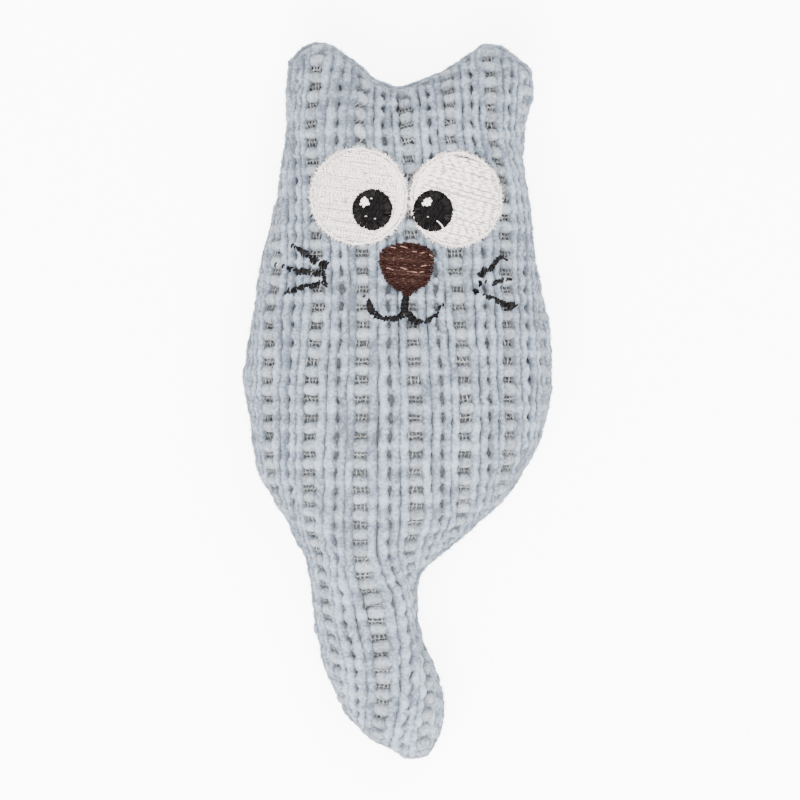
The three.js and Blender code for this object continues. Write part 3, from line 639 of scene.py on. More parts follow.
def end_tree(tree, geometry, material):
    """Ends a tree with real geometry in its material."""
    real = add(tree, "GeometryNodeRealizeInstances", {"Geometry": geometry})
    finish = add(tree, "GeometryNodeSetMaterial", {
        "Geometry": real.outputs["Geometry"], "Material": material})
    add(tree, "NodeGroupOutput", {"Geometry": finish.outputs["Geometry"]})
    return tree


def make_sweep_tree():
    """Strands along guide lines, with lumps, and with crown saying how far a place faces out of the knit."""
    tree, given = new_tree("strand_sweep", "GeometryNodeTree", {
        "Geometry": ("Geometry", None), "Sides": ("Int", 8), "Wobble": ("Float", 0.0),
        "Wobble Scale": ("Float", 900.0), "Seed": ("Float", 1.0), "Material": ("Material", None),
    }, {"Geometry": "Geometry"})
    curve = add(tree, "GeometryNodeMeshToCurve", {"Mesh": given["Geometry"]})
    radius = add(tree, "GeometryNodeInputNamedAttribute", {"Name": "radius_m"}, data_type="FLOAT")
    circle = add(tree, "GeometryNodeCurvePrimitiveCircle", {"Resolution": given["Sides"], "Radius": 1.0})
    strand = add(tree, "GeometryNodeCurveToMesh", {
        "Curve": curve.outputs["Curve"], "Profile Curve": circle.outputs["Curve"],
        "Scale": radius.outputs["Attribute"], "Fill Caps": True})
    up = add(tree, "GeometryNodeInputNamedAttribute", {"Name": "up"}, data_type="FLOAT_VECTOR")
    normal = add(tree, "GeometryNodeInputNormal").outputs["Normal"]
    facing = add(tree, "ShaderNodeVectorMath", {0: up.outputs["Attribute"], 1: normal},
                 operation="DOT_PRODUCT")
    crown = add(tree, "GeometryNodeStoreNamedAttribute", {
        "Geometry": strand.outputs["Mesh"], "Name": "crown", "Value": facing.outputs["Value"],
    }, data_type="FLOAT", domain="POINT")
    place = add(tree, "GeometryNodeInputPosition").outputs["Position"]
    lumps = add(tree, "ShaderNodeTexNoise", {
        "Vector": place, "Scale": given["Wobble Scale"], "W": given["Seed"], "Detail": 3, "Roughness": 0.6,
    }, noise_dimensions="4D")
    centred = reckon(tree, "SUBTRACT", lumps.outputs["Fac"], 0.5)
    strength = reckon(tree, "MULTIPLY", centred, given["Wobble"])
    push = add(tree, "ShaderNodeVectorMath", {0: normal, "Scale": strength}, operation="SCALE")
    move = add(tree, "GeometryNodeSetPosition", {"Geometry": crown.outputs["Geometry"],
                                                 "Offset": push.outputs[0]})
    shading = add(tree, "GeometryNodeSetShadeSmooth", {"Geometry": move.outputs["Geometry"]})
    return end_tree(tree, shading.outputs["Geometry"], given["Material"])


def make_pile_tree():
    """Short tapered fibres that stand out of a yarn's surface."""
    tree, given = new_tree("pile_fibres", "GeometryNodeTree", {
        "Geometry": ("Geometry", None), "Density": ("Float", 2e6), "Length": ("Float", 0.9 * MM),
        "Radius": ("Float", 0.04 * MM), "Lean": ("Float", 0.9), "Seed": ("Int", 1),
        "Material": ("Material", None),
    }, {"Geometry": "Geometry"})
    crown = add(tree, "GeometryNodeInputNamedAttribute", {"Name": "crown"}, data_type="FLOAT")
    outward = add(tree, "FunctionNodeCompare", {"A": crown.outputs["Attribute"], "B": 0.05},
                  data_type="FLOAT", operation="GREATER_THAN")
    scatter = add(tree, "GeometryNodeDistributePointsOnFaces", {
        "Mesh": given["Geometry"], "Selection": outward.outputs["Result"], "Density": given["Density"],
        "Seed": given["Seed"]})
    fibre = add(tree, "GeometryNodeMeshCone", {
        "Vertices": 3, "Side Segments": 1, "Radius Top": 0.0, "Radius Bottom": given["Radius"],
        "Depth": given["Length"]})
    leaning = add(tree, "FunctionNodeRandomValue", {
        0: reckon(tree, "MULTIPLY", given["Lean"], -1.0), 1: given["Lean"], "Seed": given["Seed"],
    }, data_type="FLOAT_VECTOR")
    turn = add(tree, "FunctionNodeEulerToRotation", {0: leaning.outputs[0]})
    rotate = add(tree, "FunctionNodeRotateRotation", {
        "Rotation": scatter.outputs["Rotation"], "Rotate By": turn.outputs[0]}, rotation_space="LOCAL")
    size = add(tree, "FunctionNodeRandomValue", {2: 0.5, 3: 1.2, "Seed": given["Seed"]}, data_type="FLOAT")
    place = add(tree, "GeometryNodeInstanceOnPoints", {
        "Points": scatter.outputs["Points"], "Instance": fibre.outputs["Mesh"],
        "Rotation": rotate.outputs[0], "Scale": size.outputs[1]})
    return end_tree(tree, place.outputs["Instances"], given["Material"])


sweep_tree, pile_tree = make_sweep_tree(), make_pile_tree()


def grown(guide, name, tree, values):
    """The plain mesh that a tree makes of a guide, which goes."""
    modifier = guide.modifiers.new("grow", "NODES")
    modifier.node_group = tree
    sockets = {s.name: s.identifier for s in tree.interface.items_tree if s.in_out == "INPUT"}
    for label, value in values.items():
        modifier[sockets[label]] = value
    guide.update_tag()
    bpy.context.view_layer.update()
    mesh = bpy.data.meshes.new_from_object(guide.evaluated_get(bpy.context.evaluated_depsgraph_get()))
    mesh.name = name
    bpy.data.objects.remove(guide)
    return placed(name, mesh)


def store(mesh, label, values, kind="FLOAT", key="value"):
    """Keeps a value at each point of a mesh."""
    attribute = mesh.attributes.new(label, kind, "POINT")
    attribute.data.foreach_set(key, np.asarray(values, np.float32).reshape(-1))


def sweep(name, lines, sides, wobble, wobble_size, seed, material):
    """A mesh of strands. Each line is (points, radii, shades, ways up)."""
    starts = np.cumsum([0] + [len(line[0]) for line in lines]).tolist()
    edges = [(k, k + 1) for first, after in zip(starts, starts[1:]) for k in range(first, after - 1)]
    guide = mesh_object(name + "_guide", np.concatenate([line[0] for line in lines]), [], edges)
    for label, part, size in (("radius_m", 1, ()), ("shade", 2, ()), ("up", 3, (3,))):
        values = np.concatenate([np.broadcast_to(line[part], (len(line[0]), *size)) for line in lines])
        store(guide.data, label, values, *(("FLOAT_VECTOR", "vector") if size else ()))
    return grown(guide, name, sweep_tree, {"Sides": sides, "Wobble": wobble, "Wobble Scale": 1 / wobble_size,
                                           "Seed": float(seed), "Material": material})


# Fibres to a square metre, the back's share of them, and how far they lean at most, in radians
PILE_DENSITY, BACK_PILE_SHARE, PILE_LEAN = 2.4e6, 0.35, 0.9


def make_pile(yarn, density, seed, length=0.9 * MM, radius=0.04 * MM):
    """The fuzz of one yarn piece, as fibres of its own, none of them under the table's top."""
    pile = grown(placed(yarn.name + "_guide", yarn.data.copy()), yarn.name + "_pile", pile_tree, {
        "Density": density, "Length": length, "Radius": radius, "Lean": PILE_LEAN, "Seed": seed,
        "Material": yarn.data.materials[0]})
    places = np.zeros(len(pile.data.vertices) * 3)
    pile.data.vertices.foreach_get("co", places)
    places[2::3] = np.maximum(places[2::3], 0)
    pile.data.vertices.foreach_set("co", places)
    pile.data.update()
    return pile


def joined(name, pieces):
    """One object from several, under the first one's materials."""
    for piece in bpy.context.view_layer.objects.selected:
        piece.select_set(False)
    for piece in pieces:
        piece.select_set(True)
    bpy.context.view_layer.objects.active = pieces[0]
    bpy.ops.object.join()
    pieces[0].name = name
    pieces[0].select_set(False)
    return pieces[0]


# The face's places, from the CAD nodes


def disc_of(node):
    """The middle and the half sizes of a CAD node, seen from above."""
    low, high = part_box(node)
    return (low.x + high.x) / 2, (low.y + high.y) / 2, (high.x - low.x) / 2, (high.y - low.y) / 2


EYES = {side: disc_of(side + "_eye_edging") for side in ("left", "right")}
PUPILS = {side: disc_of(side + "_pupil") for side in ("left", "right")}
COVERS = (*EYES.values(), disc_of("nose"))


def cover_depth(x, y):
    """How far inside the embroidered eyes and nose a place is, in metres, below zero outside them."""
    return max((1 - math.hypot((x - cx) / rx, (y - cy) / ry)) * min(rx, ry) for cx, cy, rx, ry in COVERS)


# Yarns of the knit

# Each leg of a rib: how far across from the ladder to the next, radius, and lean of its beads
LEGS = [(0.205, 1.24 * MM, 0.08 * MM), (0.402, 1.20 * MM, -0.10 * MM),
        (0.628, 1.06 * MM, 0.10 * MM), (0.785, 1.02 * MM, -0.08 * MM)]
# Points of a leg and ripples of its side to each course
SAMPLES, RIPPLES = 12, 2.6
# How a bead's size, slip aside and drop vary, then its shade and how that varies
BEAD_SWINGS = [(1, 0.06), (0, 0.13 * MM), (0, 0.10 * MM)]
BEAD_SHADE, LEG_SHADE_SWING, BEAD_SHADE_SWING = 0.60, 0.08, 0.14
# Between two beads: share of the radius there and what the bead adds, how much deeper it is, and how much
# darker it is painted there as painted shade
NECK_RADIUS, BEAD_SWELL, NECK_DEPTH, NECK_PAINTED_SHADE = 0.82, 0.24, 0.16 * MM, 0.18
RIPPLE_SWING = 0.12 * MM
# At a leg's end: points over which it sinks, how deep, and how much thinner it gets
END_POINTS, END_DEPTH, END_THINNER = 6, 0.7 * MM, 0.45
# Painted light: how much paler the tail's yarn is painted, where more light falls on it, as a share of the
# way from its dark tone to its light one, from how far over the tail's root and over what length
TAIL_PAINTED_LIGHT, PAINTED_LIGHT_FROM, PAINTED_LIGHT_LENGTH = 0.12, 4 * MM, 12 * MM
# How far the yarns dive under the embroidery's rim, and how far in from it they are cut
DIVE, CUT_DEPTH = 0.8 * MM, 1.6 * MM
# Widest scale of a ladder's lumps and loops, and how far they stay from a run's end, in courses
LADDER_SCALE, END_MARGIN = 1.3, 0.15
# Rungs: half length, depth in millimetres, radius and how a rung swells along it
RUNG_HALF, RUNG_DEPTH, RUNG_RADIUS = 1.62 * MM, 1.22, 1.32 * MM
RUNG_SWELL = np.array([0.62, 0.90, 1.0, 1.03, 1.04, 1.03, 1.0, 0.90, 0.62])
# Links: how far across from the ladder to the next, half length, depth, radius and swell
LINK_SHARE, LINK_HALF, LINK_DEPTH, LINK_RADIUS = 0.5276, 0.75 * MM, 1.2 * MM, 0.85 * MM
LINK_SWELL = np.array([0.7, 1, 1.05, 1, 0.7])
# Ground loops, in millimetres: half width of a ladder's gap, spacing and reach of the threads down it, and
# how deep all lie. Then their radius.
GAP_HALF, LOOP_SPACING, LOOP_REACH, LOOP_DEPTH = 1.7, 0.82, 0.9, 1.0
LOOP_RADIUS = 0.135 * MM


def draws(face, ladder, step, base, side_step):
    """The random draws for one ladder of one face."""
    return np.random.default_rng(abs(int(ladder * step + base + face.side * side_step)))


def kept_runs(face, spots, radii, shade, ways_up):
    """Cuts a strand where the face's embroidery covers it, and lets it dive under the edge."""
    spots = spots.copy()
    ways_up = np.broadcast_to(ways_up, (len(spots), 3))
    keep = np.ones(len(spots), bool)
    if face.side > 0:
        covered = np.array([cover_depth(x, y) for x, y, _ in spots])
        dive = np.clip((covered + DIVE) / (2 * DIVE), 0, 1)
        spots[:, 2] -= dive * dive * DIVE
        keep = covered < CUT_DEPTH
    ends = np.flatnonzero(np.diff(np.concatenate([[0], keep, [0]]))).reshape(-1, 2)
    return [(spots[a:b], radii[a:b], shade[a:b], ways_up[a:b]) for a, b in ends if b - a > 2]


def bead_line(face, run, place, count, local, radius, lean):
    """One beaded leg of a rib along a run of the grid, one bead to each course."""
    j, i = line_at(place, count, run).T
    centres = np.arange(math.floor(place[0]) - 1, math.ceil(place[-1]) + 2) + 0.5
    tint_middle = BEAD_SHADE + local.normal(0, LEG_SHADE_SWING)
    size, slip, drop, tint = (np.interp(place, centres, local.normal(middle, swing, len(centres)))
                              for middle, swing in (*BEAD_SWINGS, (tint_middle, BEAD_SHADE_SWING)))
    plump = 0.5 - 0.5 * np.cos(2 * np.pi * place)
    radii = radius * sample_grid(face.scale, j, i) * size * (NECK_RADIUS + BEAD_SWELL * plump)
    depth = radius * 0.98 + NECK_DEPTH * (1 - plump) + drop
    ripples = np.arange(centres[0], centres[-1], 1 / RIPPLES)
    ripple = np.interp(place, ripples, local.normal(0, RIPPLE_SWING, len(ripples)))
    side = lean * np.cos(2 * np.pi * place) + slip + ripple
    spots, ways_up, across = (sample_grid(grid, j, i) for grid in (face.points, face.normals, face.across))
    spots = spots - ways_up * depth[:, None] + across * side[:, None]
    # Painted light: the tail's yarn is painted paler where more light falls on it
    in_tail = np.clip((TAIL_ROOT + PAINTED_LIGHT_FROM - spots[:, 1]) / PAINTED_LIGHT_LENGTH, 0, 1)
    # Painted shade darkens the necks between beads
    shade = tint - NECK_PAINTED_SHADE * (1 - plump) + TAIL_PAINTED_LIGHT * in_tail
    order = np.arange(len(j))
    sink = np.clip(1 - np.minimum(order, order[::-1]) / END_POINTS, 0, 1)
    spots -= ways_up * (sink * END_DEPTH)[:, None]
    return kept_runs(face, spots, radii * (1 - END_THINNER * sink ** 2), shade, ways_up)


def bead_lines(face, numbers):
    """The beaded legs of the ribs."""
    lines = []
    legs = [(ladder, leg, *shape) for ladder in numbers for leg, shape in enumerate(LEGS)]
    for ladder, leg, share, radius, lean in legs:
        for run in face.rib_paths(ladder + share):
            count = face.courses(run)
            first, last = math.ceil(count[0] * SAMPLES), math.floor(count[-1] * SAMPLES)
            if last - first >= 4:
                local = draws(face, ladder, 40, leg * 7 + 900, 3000)
                place = np.arange(first, last + 1) / SAMPLES
                lines += bead_line(face, run, place, count, local, radius, lean)
    return lines


def ladder_places(face, numbers, share, phase, *seed):
    """Row, column and scale at one phase of every course beside a ladder, with the ladder's random draws."""
    for ladder in numbers:
        local = draws(face, ladder, *seed)
        for run in face.rib_paths(ladder + share):
            count = face.courses(run)
            first = math.ceil(count[0] - phase + END_MARGIN)
            for course in range(first, math.floor(count[-1] - phase - END_MARGIN) + 1):
                j, i = line_at(course + phase, count, run)
                yield j, i, min(float(sample_grid(face.scale, j, i)), LADDER_SCALE), local


def frame_at(face, j, i):
    """The place on the knit's face at a grid place, with its ways up, across the ribs and along them."""
    spot, normal, across = (sample_grid(grid, j, i) for grid in (face.points, face.normals, face.across))
    return spot, normal, across, np.cross(normal, across) * face.side


def cross_line(face, j, i, local, half, depth, radius, swell, shift, tilt, radius_swing, shade):
    """A short strand that crosses the ribs, a little shifted along them and tilted."""
    centre, normal, across, along = frame_at(face, j, i)
    down, turn = local.normal(0, shift) * MM, local.normal(0, tilt) * MM
    offset = np.linspace(-half, half, len(swell))
    spots = centre + np.outer(offset, across) + np.outer(down + turn * offset / half, along) - normal * depth
    radii = radius * local.normal(1, radius_swing) * swell
    return kept_runs(face, spots, radii, np.full(len(swell), local.normal(shade, 0.12)), normal)


def rung_lines(face, numbers):
    """The square lumps of a ladder, one at each course."""
    lines = []
    for j, i, scale, local in ladder_places(face, numbers, 0, 0.5, 17, 300, 5000):
        half = RUNG_HALF * scale * local.normal(1, 0.04)
        depth = (RUNG_DEPTH + local.normal(0, 0.08)) * MM
        lines += cross_line(face, j, i, local, half, depth, RUNG_RADIUS, RUNG_SWELL, 0.10, 0.14, 0.05, 0.66)
    return lines


def link_lines(face, numbers):
    """The small crossing between the second and third leg at each course."""
    lines = []
    for j, i, _, local in ladder_places(face, numbers, LINK_SHARE, 0.5, 23, 500, 7000):
        lines += cross_line(face, j, i, local, LINK_HALF, LINK_DEPTH, LINK_RADIUS, LINK_SWELL, 0.2, 0.25,
                            0.1, 0.4)
    return lines


def loop_lines(face, numbers):
    """Fine ground loops in each gap of a ladder: one thread across it and five short ones down it."""
    lines = []
    for j, i, scale, local in ladder_places(face, numbers, 0, 0.0, 29, 700, 9000):
        centre, normal, across, along = frame_at(face, j, i)
        zigzag = local.choice((-1, 1)) * local.uniform(0.10, 0.30)
        # Each thread's points, in millimetres across the ribs, along them and down
        shapes = [[(x * scale, zigzag * (-1) ** k + local.normal(0, 0.08), 0.14)
                   for k, x in enumerate(np.linspace(-GAP_HALF, GAP_HALF, 9))]]
        for column in range(-2, 3):
            x = column * LOOP_SPACING * scale + local.normal(0, 0.08)
            lean, reach = local.normal(0, 0.18), LOOP_REACH * local.normal(1, 0.08)
            shapes.append([(x - lean, -reach, 0.22), (x, local.normal(0, 0.06), 0.02),
                           (x + lean, reach, 0.22)])
        for shape in shapes:
            spots = np.array([centre + (across * a + along * b - normal * (LOOP_DEPTH + c)) * MM
                              for a, b, c in shape])
            shade = np.full(len(shape), local.normal(0.52, 0.24))
            lines += kept_runs(face, spots, np.full(len(shape), LOOP_RADIUS), shade, normal)
    return lines


def rim_path_at(face, distance):
    """Grid places of a closed line that keeps one distance from the seam, measured over the cloth."""
    columns, rows = np.arange(COLUMNS + 1), np.arange(ROWS + 1)
    left, top = grid_arc(face.points, 1), grid_arc(face.points, 0)
    right, bottom = left[:, -1:] - left, top[-1:] - top
    sides = [
        ((top, bottom), [(j, np.interp(distance, left[j], columns)) for j in rows]),
        ((left, right), [(np.interp(-distance, -bottom[:, i], rows), i) for i in columns]),
        ((top, bottom), [(j, np.interp(-distance, -right[j], columns)) for j in rows[::-1]]),
        ((left, right), [(np.interp(distance, top[:, i], rows), i) for i in columns[::-1]]),
    ]
    return np.array([(j, i) for others, side in sides for j, i in side
                     if all(sample_grid(other, j, i) >= distance for other in others)])


# Cords along the seam: how far from it over the cloth, radius, and how deep under the ribs
RIM_CORDS = [(0.05 * MM, 1.06 * MM, 0.0), (1.85 * MM, 1.00 * MM, 0.35 * MM),
             (3.75 * MM, 1.05 * MM, 0.60 * MM)]
RIM_STEP = 0.42 * MM
# How long a lump of theirs is, in courses, and how its size, shade and rise vary
RIM_LUMP = 0.52
RIM_SWINGS = [(1, 0.10), (0.50, 0.16), (0, 0.17 * MM)]


def rim_lines(face):
    """The chenille that follows the seam, under the ends of the ribs."""
    lines = []
    for number, (distance, radius, sunk) in enumerate(RIM_CORDS):
        local = np.random.default_rng(800 + number * 10 + (face.side > 0))
        places = rim_path_at(face, distance).T
        spots, ways_up = sample_grid(face.points, *places), sample_grid(face.normals, *places)
        if number == 0:
            ways_up = unit(ways_up * np.array([1, 1, 0.35]))
        for _ in range(3):
            spots = (np.roll(spots, 1, axis=0) + 2 * spots + np.roll(spots, -1, axis=0)) / 4
        spots, ways_up = (np.concatenate([values, values[:1]]) for values in (spots, ways_up))
        arc = arc_of(spots)
        at = np.linspace(0, arc[-1], int(arc[-1] / RIM_STEP))
        spots, ways_up = line_at(at, arc, spots), line_at(at, arc, ways_up)
        centres = np.arange(0, arc[-1] + BODY_COURSE, BODY_COURSE * RIM_LUMP)
        size, shade, rise = (np.interp(at, centres, local.normal(middle, swing, len(centres)))
                             for middle, swing in RIM_SWINGS)
        spots = spots - ways_up * (radius * 0.96 + sunk + rise)[:, None]
        lines.append((spots, radius * size, shade, ways_up))
    return lines


# Build


def cross_joint(piece):
    """Cloth runs unbroken from the body into the tail; its place is baked into its mesh."""
    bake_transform(piece)


make_camera()
make_floor(make_floor_paint())
make_light()

# The ground of the knit, a closed bag a little under the yarns, its dark tone painted shade deep in the gaps
# between them

# How far it is drawn in from the seam, stands off the seam's plane and lies under the knit's face
GROUND_LAYER = (1.4 * MM, 0.15 * MM, 1.40 * MM)
GROUND_LOWEST = 0.4 * MM
skin_grids = []
for face, moves in ((front, front_moves), (back, back_moves)):
    grid = layer_points(face.side, *GROUND_LAYER) + moves
    grid[..., 2] = np.maximum(grid[..., 2], GROUND_LOWEST)
    skin_grids.append(grid)
skin = mesh_object("knit_ground", *closed_skin(*skin_grids)[:2], material=fabrics["ground_yarn_painted_shade"])
skin.data.shade_smooth()
cross_joint(skin)
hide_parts("front_panel", "back_panel", "tail_front_panel", "tail_back_panel")

for label, face in (("front", front), ("back", back)):
    numbers = range(math.floor(face.ribs.min()) - 1, math.ceil(face.ribs.max()) + 1)
    left, right = [n for n in numbers if n < -0.5], [n for n in numbers if n > -0.5]
    leg_sides, density = (13, PILE_DENSITY) if face is front else (9, PILE_DENSITY * BACK_PILE_SHARE)
    # Each piece: its strands, sides round a strand, size and length of its lumps, seed and yarn
    strands = {
        "left_legs": (bead_lines(face, left), leg_sides, 1.05 * MM, 0.85 * MM, 3, "chenille_yarn"),
        "right_legs": (bead_lines(face, right), leg_sides, 1.05 * MM, 0.85 * MM, 3, "chenille_yarn"),
        "rungs": (rung_lines(face, numbers), 13, 0.9 * MM, 0.85 * MM, 5, "ladder_yarn"),
        "links": (link_lines(face, numbers), 8, 0.5 * MM, 0.75 * MM, 7, "chenille_yarn"),
        "rim_cords": (rim_lines(face), 11, 1.1 * MM, 0.95 * MM, 11, "chenille_yarn"),
        "ground_loops": (loop_lines(face, numbers), 5, 0.0, 0.9 * MM, 9, "loop_yarn"),
    }
    pieces = [sweep(f"{label}_{name}", *values, fabrics[yarn]) for name, (*values, yarn) in strands.items()]
    # All yarns but the links and the fine loops have a pile
    pieces += [make_pile(pieces[number], density, 151 + number) for number in (0, 1, 2, 4)]
    for piece in pieces:
        cross_joint(piece)

# Embroidery

UP = (0, 0, 1)
# Narrowest line that is stitched
NARROWEST = 0.42 * MM
# Where a leg ends beside its crest, and how far from there its valley is
CREST_HALF, CREST_FALL = 0.75 * MM, 0.45 * MM
CREST_SHARES = (0.0, *(share for share, _, _ in LEGS), 1.0)
# Sides round a thread, then size and length of its lumps
THREAD_ROUND = (6, 0.05 * MM, 0.5 * MM)


def pad(name, outline, low, high, finish, rings=7, sectors=40):
    """A closed flat pad that follows the knit's face, with a rounded rim."""
    points, faces = [], []
    for over, rise in enumerate((0, high - low)):
        hub = len(points)
        for ring in range(rings + 1):
            share = ring / rings
            lift = low + rise * math.sqrt(max(0.0, 1 - share ** 6))
            for turn in range(sectors if ring else 1):
                points.append(on_face(*outline(2 * math.pi * turn / sectors, share), lift))
        for turn in range(sectors):
            ahead = (turn + 1) % sectors
            loop = [(hub, hub + 1 + turn, hub + 1 + ahead)]
            for inner in range(hub + 1, hub + 1 + (rings - 1) * sectors, sectors):
                outer = inner + sectors
                loop.append((inner + turn, outer + turn, outer + ahead, inner + ahead))
            faces += loop if over else [face[::-1] for face in loop]
    size = 1 + rings * sectors
    under, top = size - sectors, 2 * size - sectors
    for turn in range(sectors):
        ahead = (turn + 1) % sectors
        faces.append((under + turn, under + ahead, top + ahead, top + turn))
    made = mesh_object(name, points, faces, material=fabrics[finish])
    made.data.shade_smooth()
    # Painted shade: a low shade and crown paint the pad darker, so it shows darker between the threads over
    # it
    store(made.data, "shade", np.full(len(points), 0.25))
    store(made.data, "crown", np.full(len(points), 0.8))
    return made


def thread(path, lifts, radius, shade):
    """One thread over the face, through plan points at their own lifts, or none where it leaves the face."""
    spots = [on_face(x, y, lift) for (x, y), lift in zip(path, np.broadcast_to(lifts, len(path)))]
    if len(spots) < 2 or any(spot is None for spot in spots):
        return []
    return [(np.array(spots), radius, shade, UP)]


def ellipse(disc, grow=0.0):
    cx, cy, rx, ry = disc

    def outline(angle, share):
        return cx + (rx + grow) * share * math.cos(angle), cy + (ry + grow) * share * math.sin(angle)

    return outline


def bar(x, y, reach, angle):
    """The ends and the middle of a short straight stitch."""
    c, s = reach * math.cos(angle), reach * math.sin(angle)
    return [(x - c, y - s), (x, y), (x + c, y + s)]


def chords(outline, angle, pitch, sectors=120):
    """Straight rows at an angle that fill an outline, each as (start, end)."""
    along = np.array([math.cos(angle), math.sin(angle)])
    aside = np.array([-along[1], along[0]])
    rim = np.array([outline(2 * math.pi * k / sectors, 1) for k in range(sectors)])
    level, reach = rim @ aside, rim @ along
    rows = []
    for row in np.arange(level.min() + pitch * 0.6, level.max() - pitch * 0.3, pitch):
        crossings = []
        for k in range(sectors):
            a, b = level[k], level[(k + 1) % sectors]
            if (a - row) * (b - row) < 0:
                share = (row - a) / (b - a)
                crossings.append(reach[k] + (reach[(k + 1) % sectors] - reach[k]) * share)
        if len(crossings) >= 2:
            rows.append((along * min(crossings) + aside * row, along * max(crossings) + aside * row))
    return rows


def fill_rows(outline, angle, pitch, stitch, lift, dip, radius, tint, tint_swing, seed,
              overrun=0.0, wave=0.02 * MM):
    """Filled embroidery: rows of thread that dip into the cloth at each stitch's end, painted darker there
    as painted shade.
    """
    local = np.random.default_rng(seed)
    lines = []
    for start, end in chords(outline, angle, pitch):
        length = float(np.linalg.norm(end - start))
        way = (end - start) / max(length, 1e-9)
        aside = np.array([-way[1], way[0]])
        start = start - way * (overrun + local.uniform(-0.15, 0.15) * MM)
        length += 2 * overrun
        own_stitch = stitch * local.uniform(0.72, 1.35)
        offset = local.uniform(0, own_stitch)
        steps = max(3, int(length / (own_stitch / 4.6)))
        along = np.linspace(0, length, steps + 1)
        near_end = np.abs(np.cos(np.pi * (((along + offset) / own_stitch) % 1))) ** 6
        drift = np.cumsum(local.normal(0, wave, steps + 1))
        drift -= np.linspace(0, drift[-1], steps + 1)
        path = start + np.outer(along, way) + np.outer(drift, aside)
        # Painted shade: each thread is painted darker where it dips at a stitch's end
        shades = tint * (1 - 0.65 * near_end) + local.normal(0, tint_swing)
        lines += thread(path, lift - dip * near_end, radius * (1 - 0.25 * near_end), shades)
    return lines


def ring_lines(disc, inset, lift, radius, tint, seed, arc):
    """A thread that runs round an oval, a little unevenly."""
    local = np.random.default_rng(seed)
    steps = max(12, int((arc[1] - arc[0]) * 14))
    wave = local.normal(0, 0.09 * MM, steps + 1)
    wave[-1] = wave[0]
    angles = np.linspace(*arc, steps + 1)
    return thread([ellipse(disc, w - inset)(angle, 1) for w, angle in zip(wave, angles)], lift, radius, tint)


def rib_dip(x, y):
    """How far a place of the front lies in between two legs: 0 on their crests, 1 in the valley."""
    nearest = np.argmin((front.points[..., 0] - x) ** 2 + (front.points[..., 1] - y) ** 2)
    rib = float(front.ribs.flat[nearest]) % 1
    away = min(abs(rib - crest) for crest in CREST_SHARES) * RIB_PITCH
    return min(max((away - CREST_HALF) / CREST_FALL, 0), 1)


def satin(path_px, pitch, lift, radius, seed, lean=0.0, rag=0.12 * MM, tint=0.4, sink=0.6 * MM):
    """Close threads that cross a line from side to side, through (x, y, width) places. Where it is
    narrow they leave it bare, and they sink where it spans a valley."""
    local = np.random.default_rng(seed)
    path = np.array([(*place_of(px, py), width * PIXEL) for px, py, width in path_px])
    arc = arc_of(path[:, :2])
    fine = np.linspace(0, arc[-1], 80)
    line = smooth(line_at(fine, arc, path[:, :2]), 6, True)
    lines = []
    for at in np.arange(0, arc[-1] + pitch * 0.5, pitch):
        width = np.interp(at, arc, path[:, 2])
        if width < NARROWEST:
            continue
        spot, ahead, behind = (line_at(at + offset, fine, line) for offset in (0, 0.3 * MM, -0.3 * MM))
        way = unit(ahead - behind)
        aside = np.array([-way[1], way[0]])
        left, right = np.maximum(width / 2 - radius * 0.6 + local.uniform(-rag, rag, 2), 0.12 * MM)
        slant = lean + local.normal(0, 0.05 * MM)
        # Each point of the thread: how far aside, how far along, and its rise in millimetres
        cross = np.array([(-left, -slant, -0.35), (-left * 0.6, -slant * 0.6, 0.0), (0, 0, 0.10),
                          (right * 0.6, slant * 0.6, 0.0), (right, slant, -0.35)])
        places = spot + np.outer(cross[:, 0], aside) + np.outer(cross[:, 1], way)
        lifts = lift + cross[:, 2] * MM + local.normal(0, 0.08 * MM) - sink * rib_dip(*spot)
        lines += thread(places, lifts, radius * local.normal(1, 0.12), tint + local.normal(0, 0.2))
    return lines


def clear_disc(pile, disc):
    """Takes out the fibres of a pile that would stand over an oval."""
    cx, cy, rx, ry = disc
    shape = bmesh.new()
    shape.from_mesh(pile.data)
    over = [v for v in shape.verts if math.hypot((v.co.x - cx) / rx, (v.co.y - cy) / ry) < 0.98]
    # A fibre is a pyramid on three corners, so one step over its edges reaches all of it
    fibres = {v for corner in over for edge in corner.link_edges for v in edge.verts}
    bmesh.ops.delete(shape, geom=list(fibres), context="VERTS")
    shape.to_mesh(pile.data)
    shape.free()


def embroider(name, lines, finish, base=None, fuzz_of=None, clear_of=None):
    """One embroidered piece: its threads, the pad under them, and its fuzz as (density, seed, length,
    radius), none of it over the oval clear_of where that is given."""
    parts = [sweep(name + "_threads", lines, *THREAD_ROUND, 13, fabrics[finish])]
    if fuzz_of:
        parts.append(make_pile(parts[0], *fuzz_of))
        if clear_of:
            clear_disc(parts[1], clear_of)
    if base is not None:
        parts.insert(0, base)
    piece = joined(name + "_stitching", parts) if len(parts) > 1 else parts[0]
    piece.name = name + "_stitching"
    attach(piece, "body")
    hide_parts(name)


HEM_STITCHES = 250


def hem_stitches(disc, seed):
    """Short loose stitches across the rim of an eye."""
    local = np.random.default_rng(seed)
    lines = []
    for _ in range(HEM_STITCHES):
        angle = local.uniform(0, 2 * math.pi)
        inner, outer = local.uniform(0.2, 0.7) * MM, local.uniform(-0.62, 0.05) * MM
        path = [ellipse(disc, -inset)(angle + turn, 1) for inset, turn in
                ((inner, 0), ((inner + outer) / 2, 0.01), (outer, local.uniform(0, 0.03)))]
        lines += thread(path, np.array([0.62, 0.66, 0.25]) * MM, 0.13 * MM, local.uniform(0.6, 1.0))
    return lines


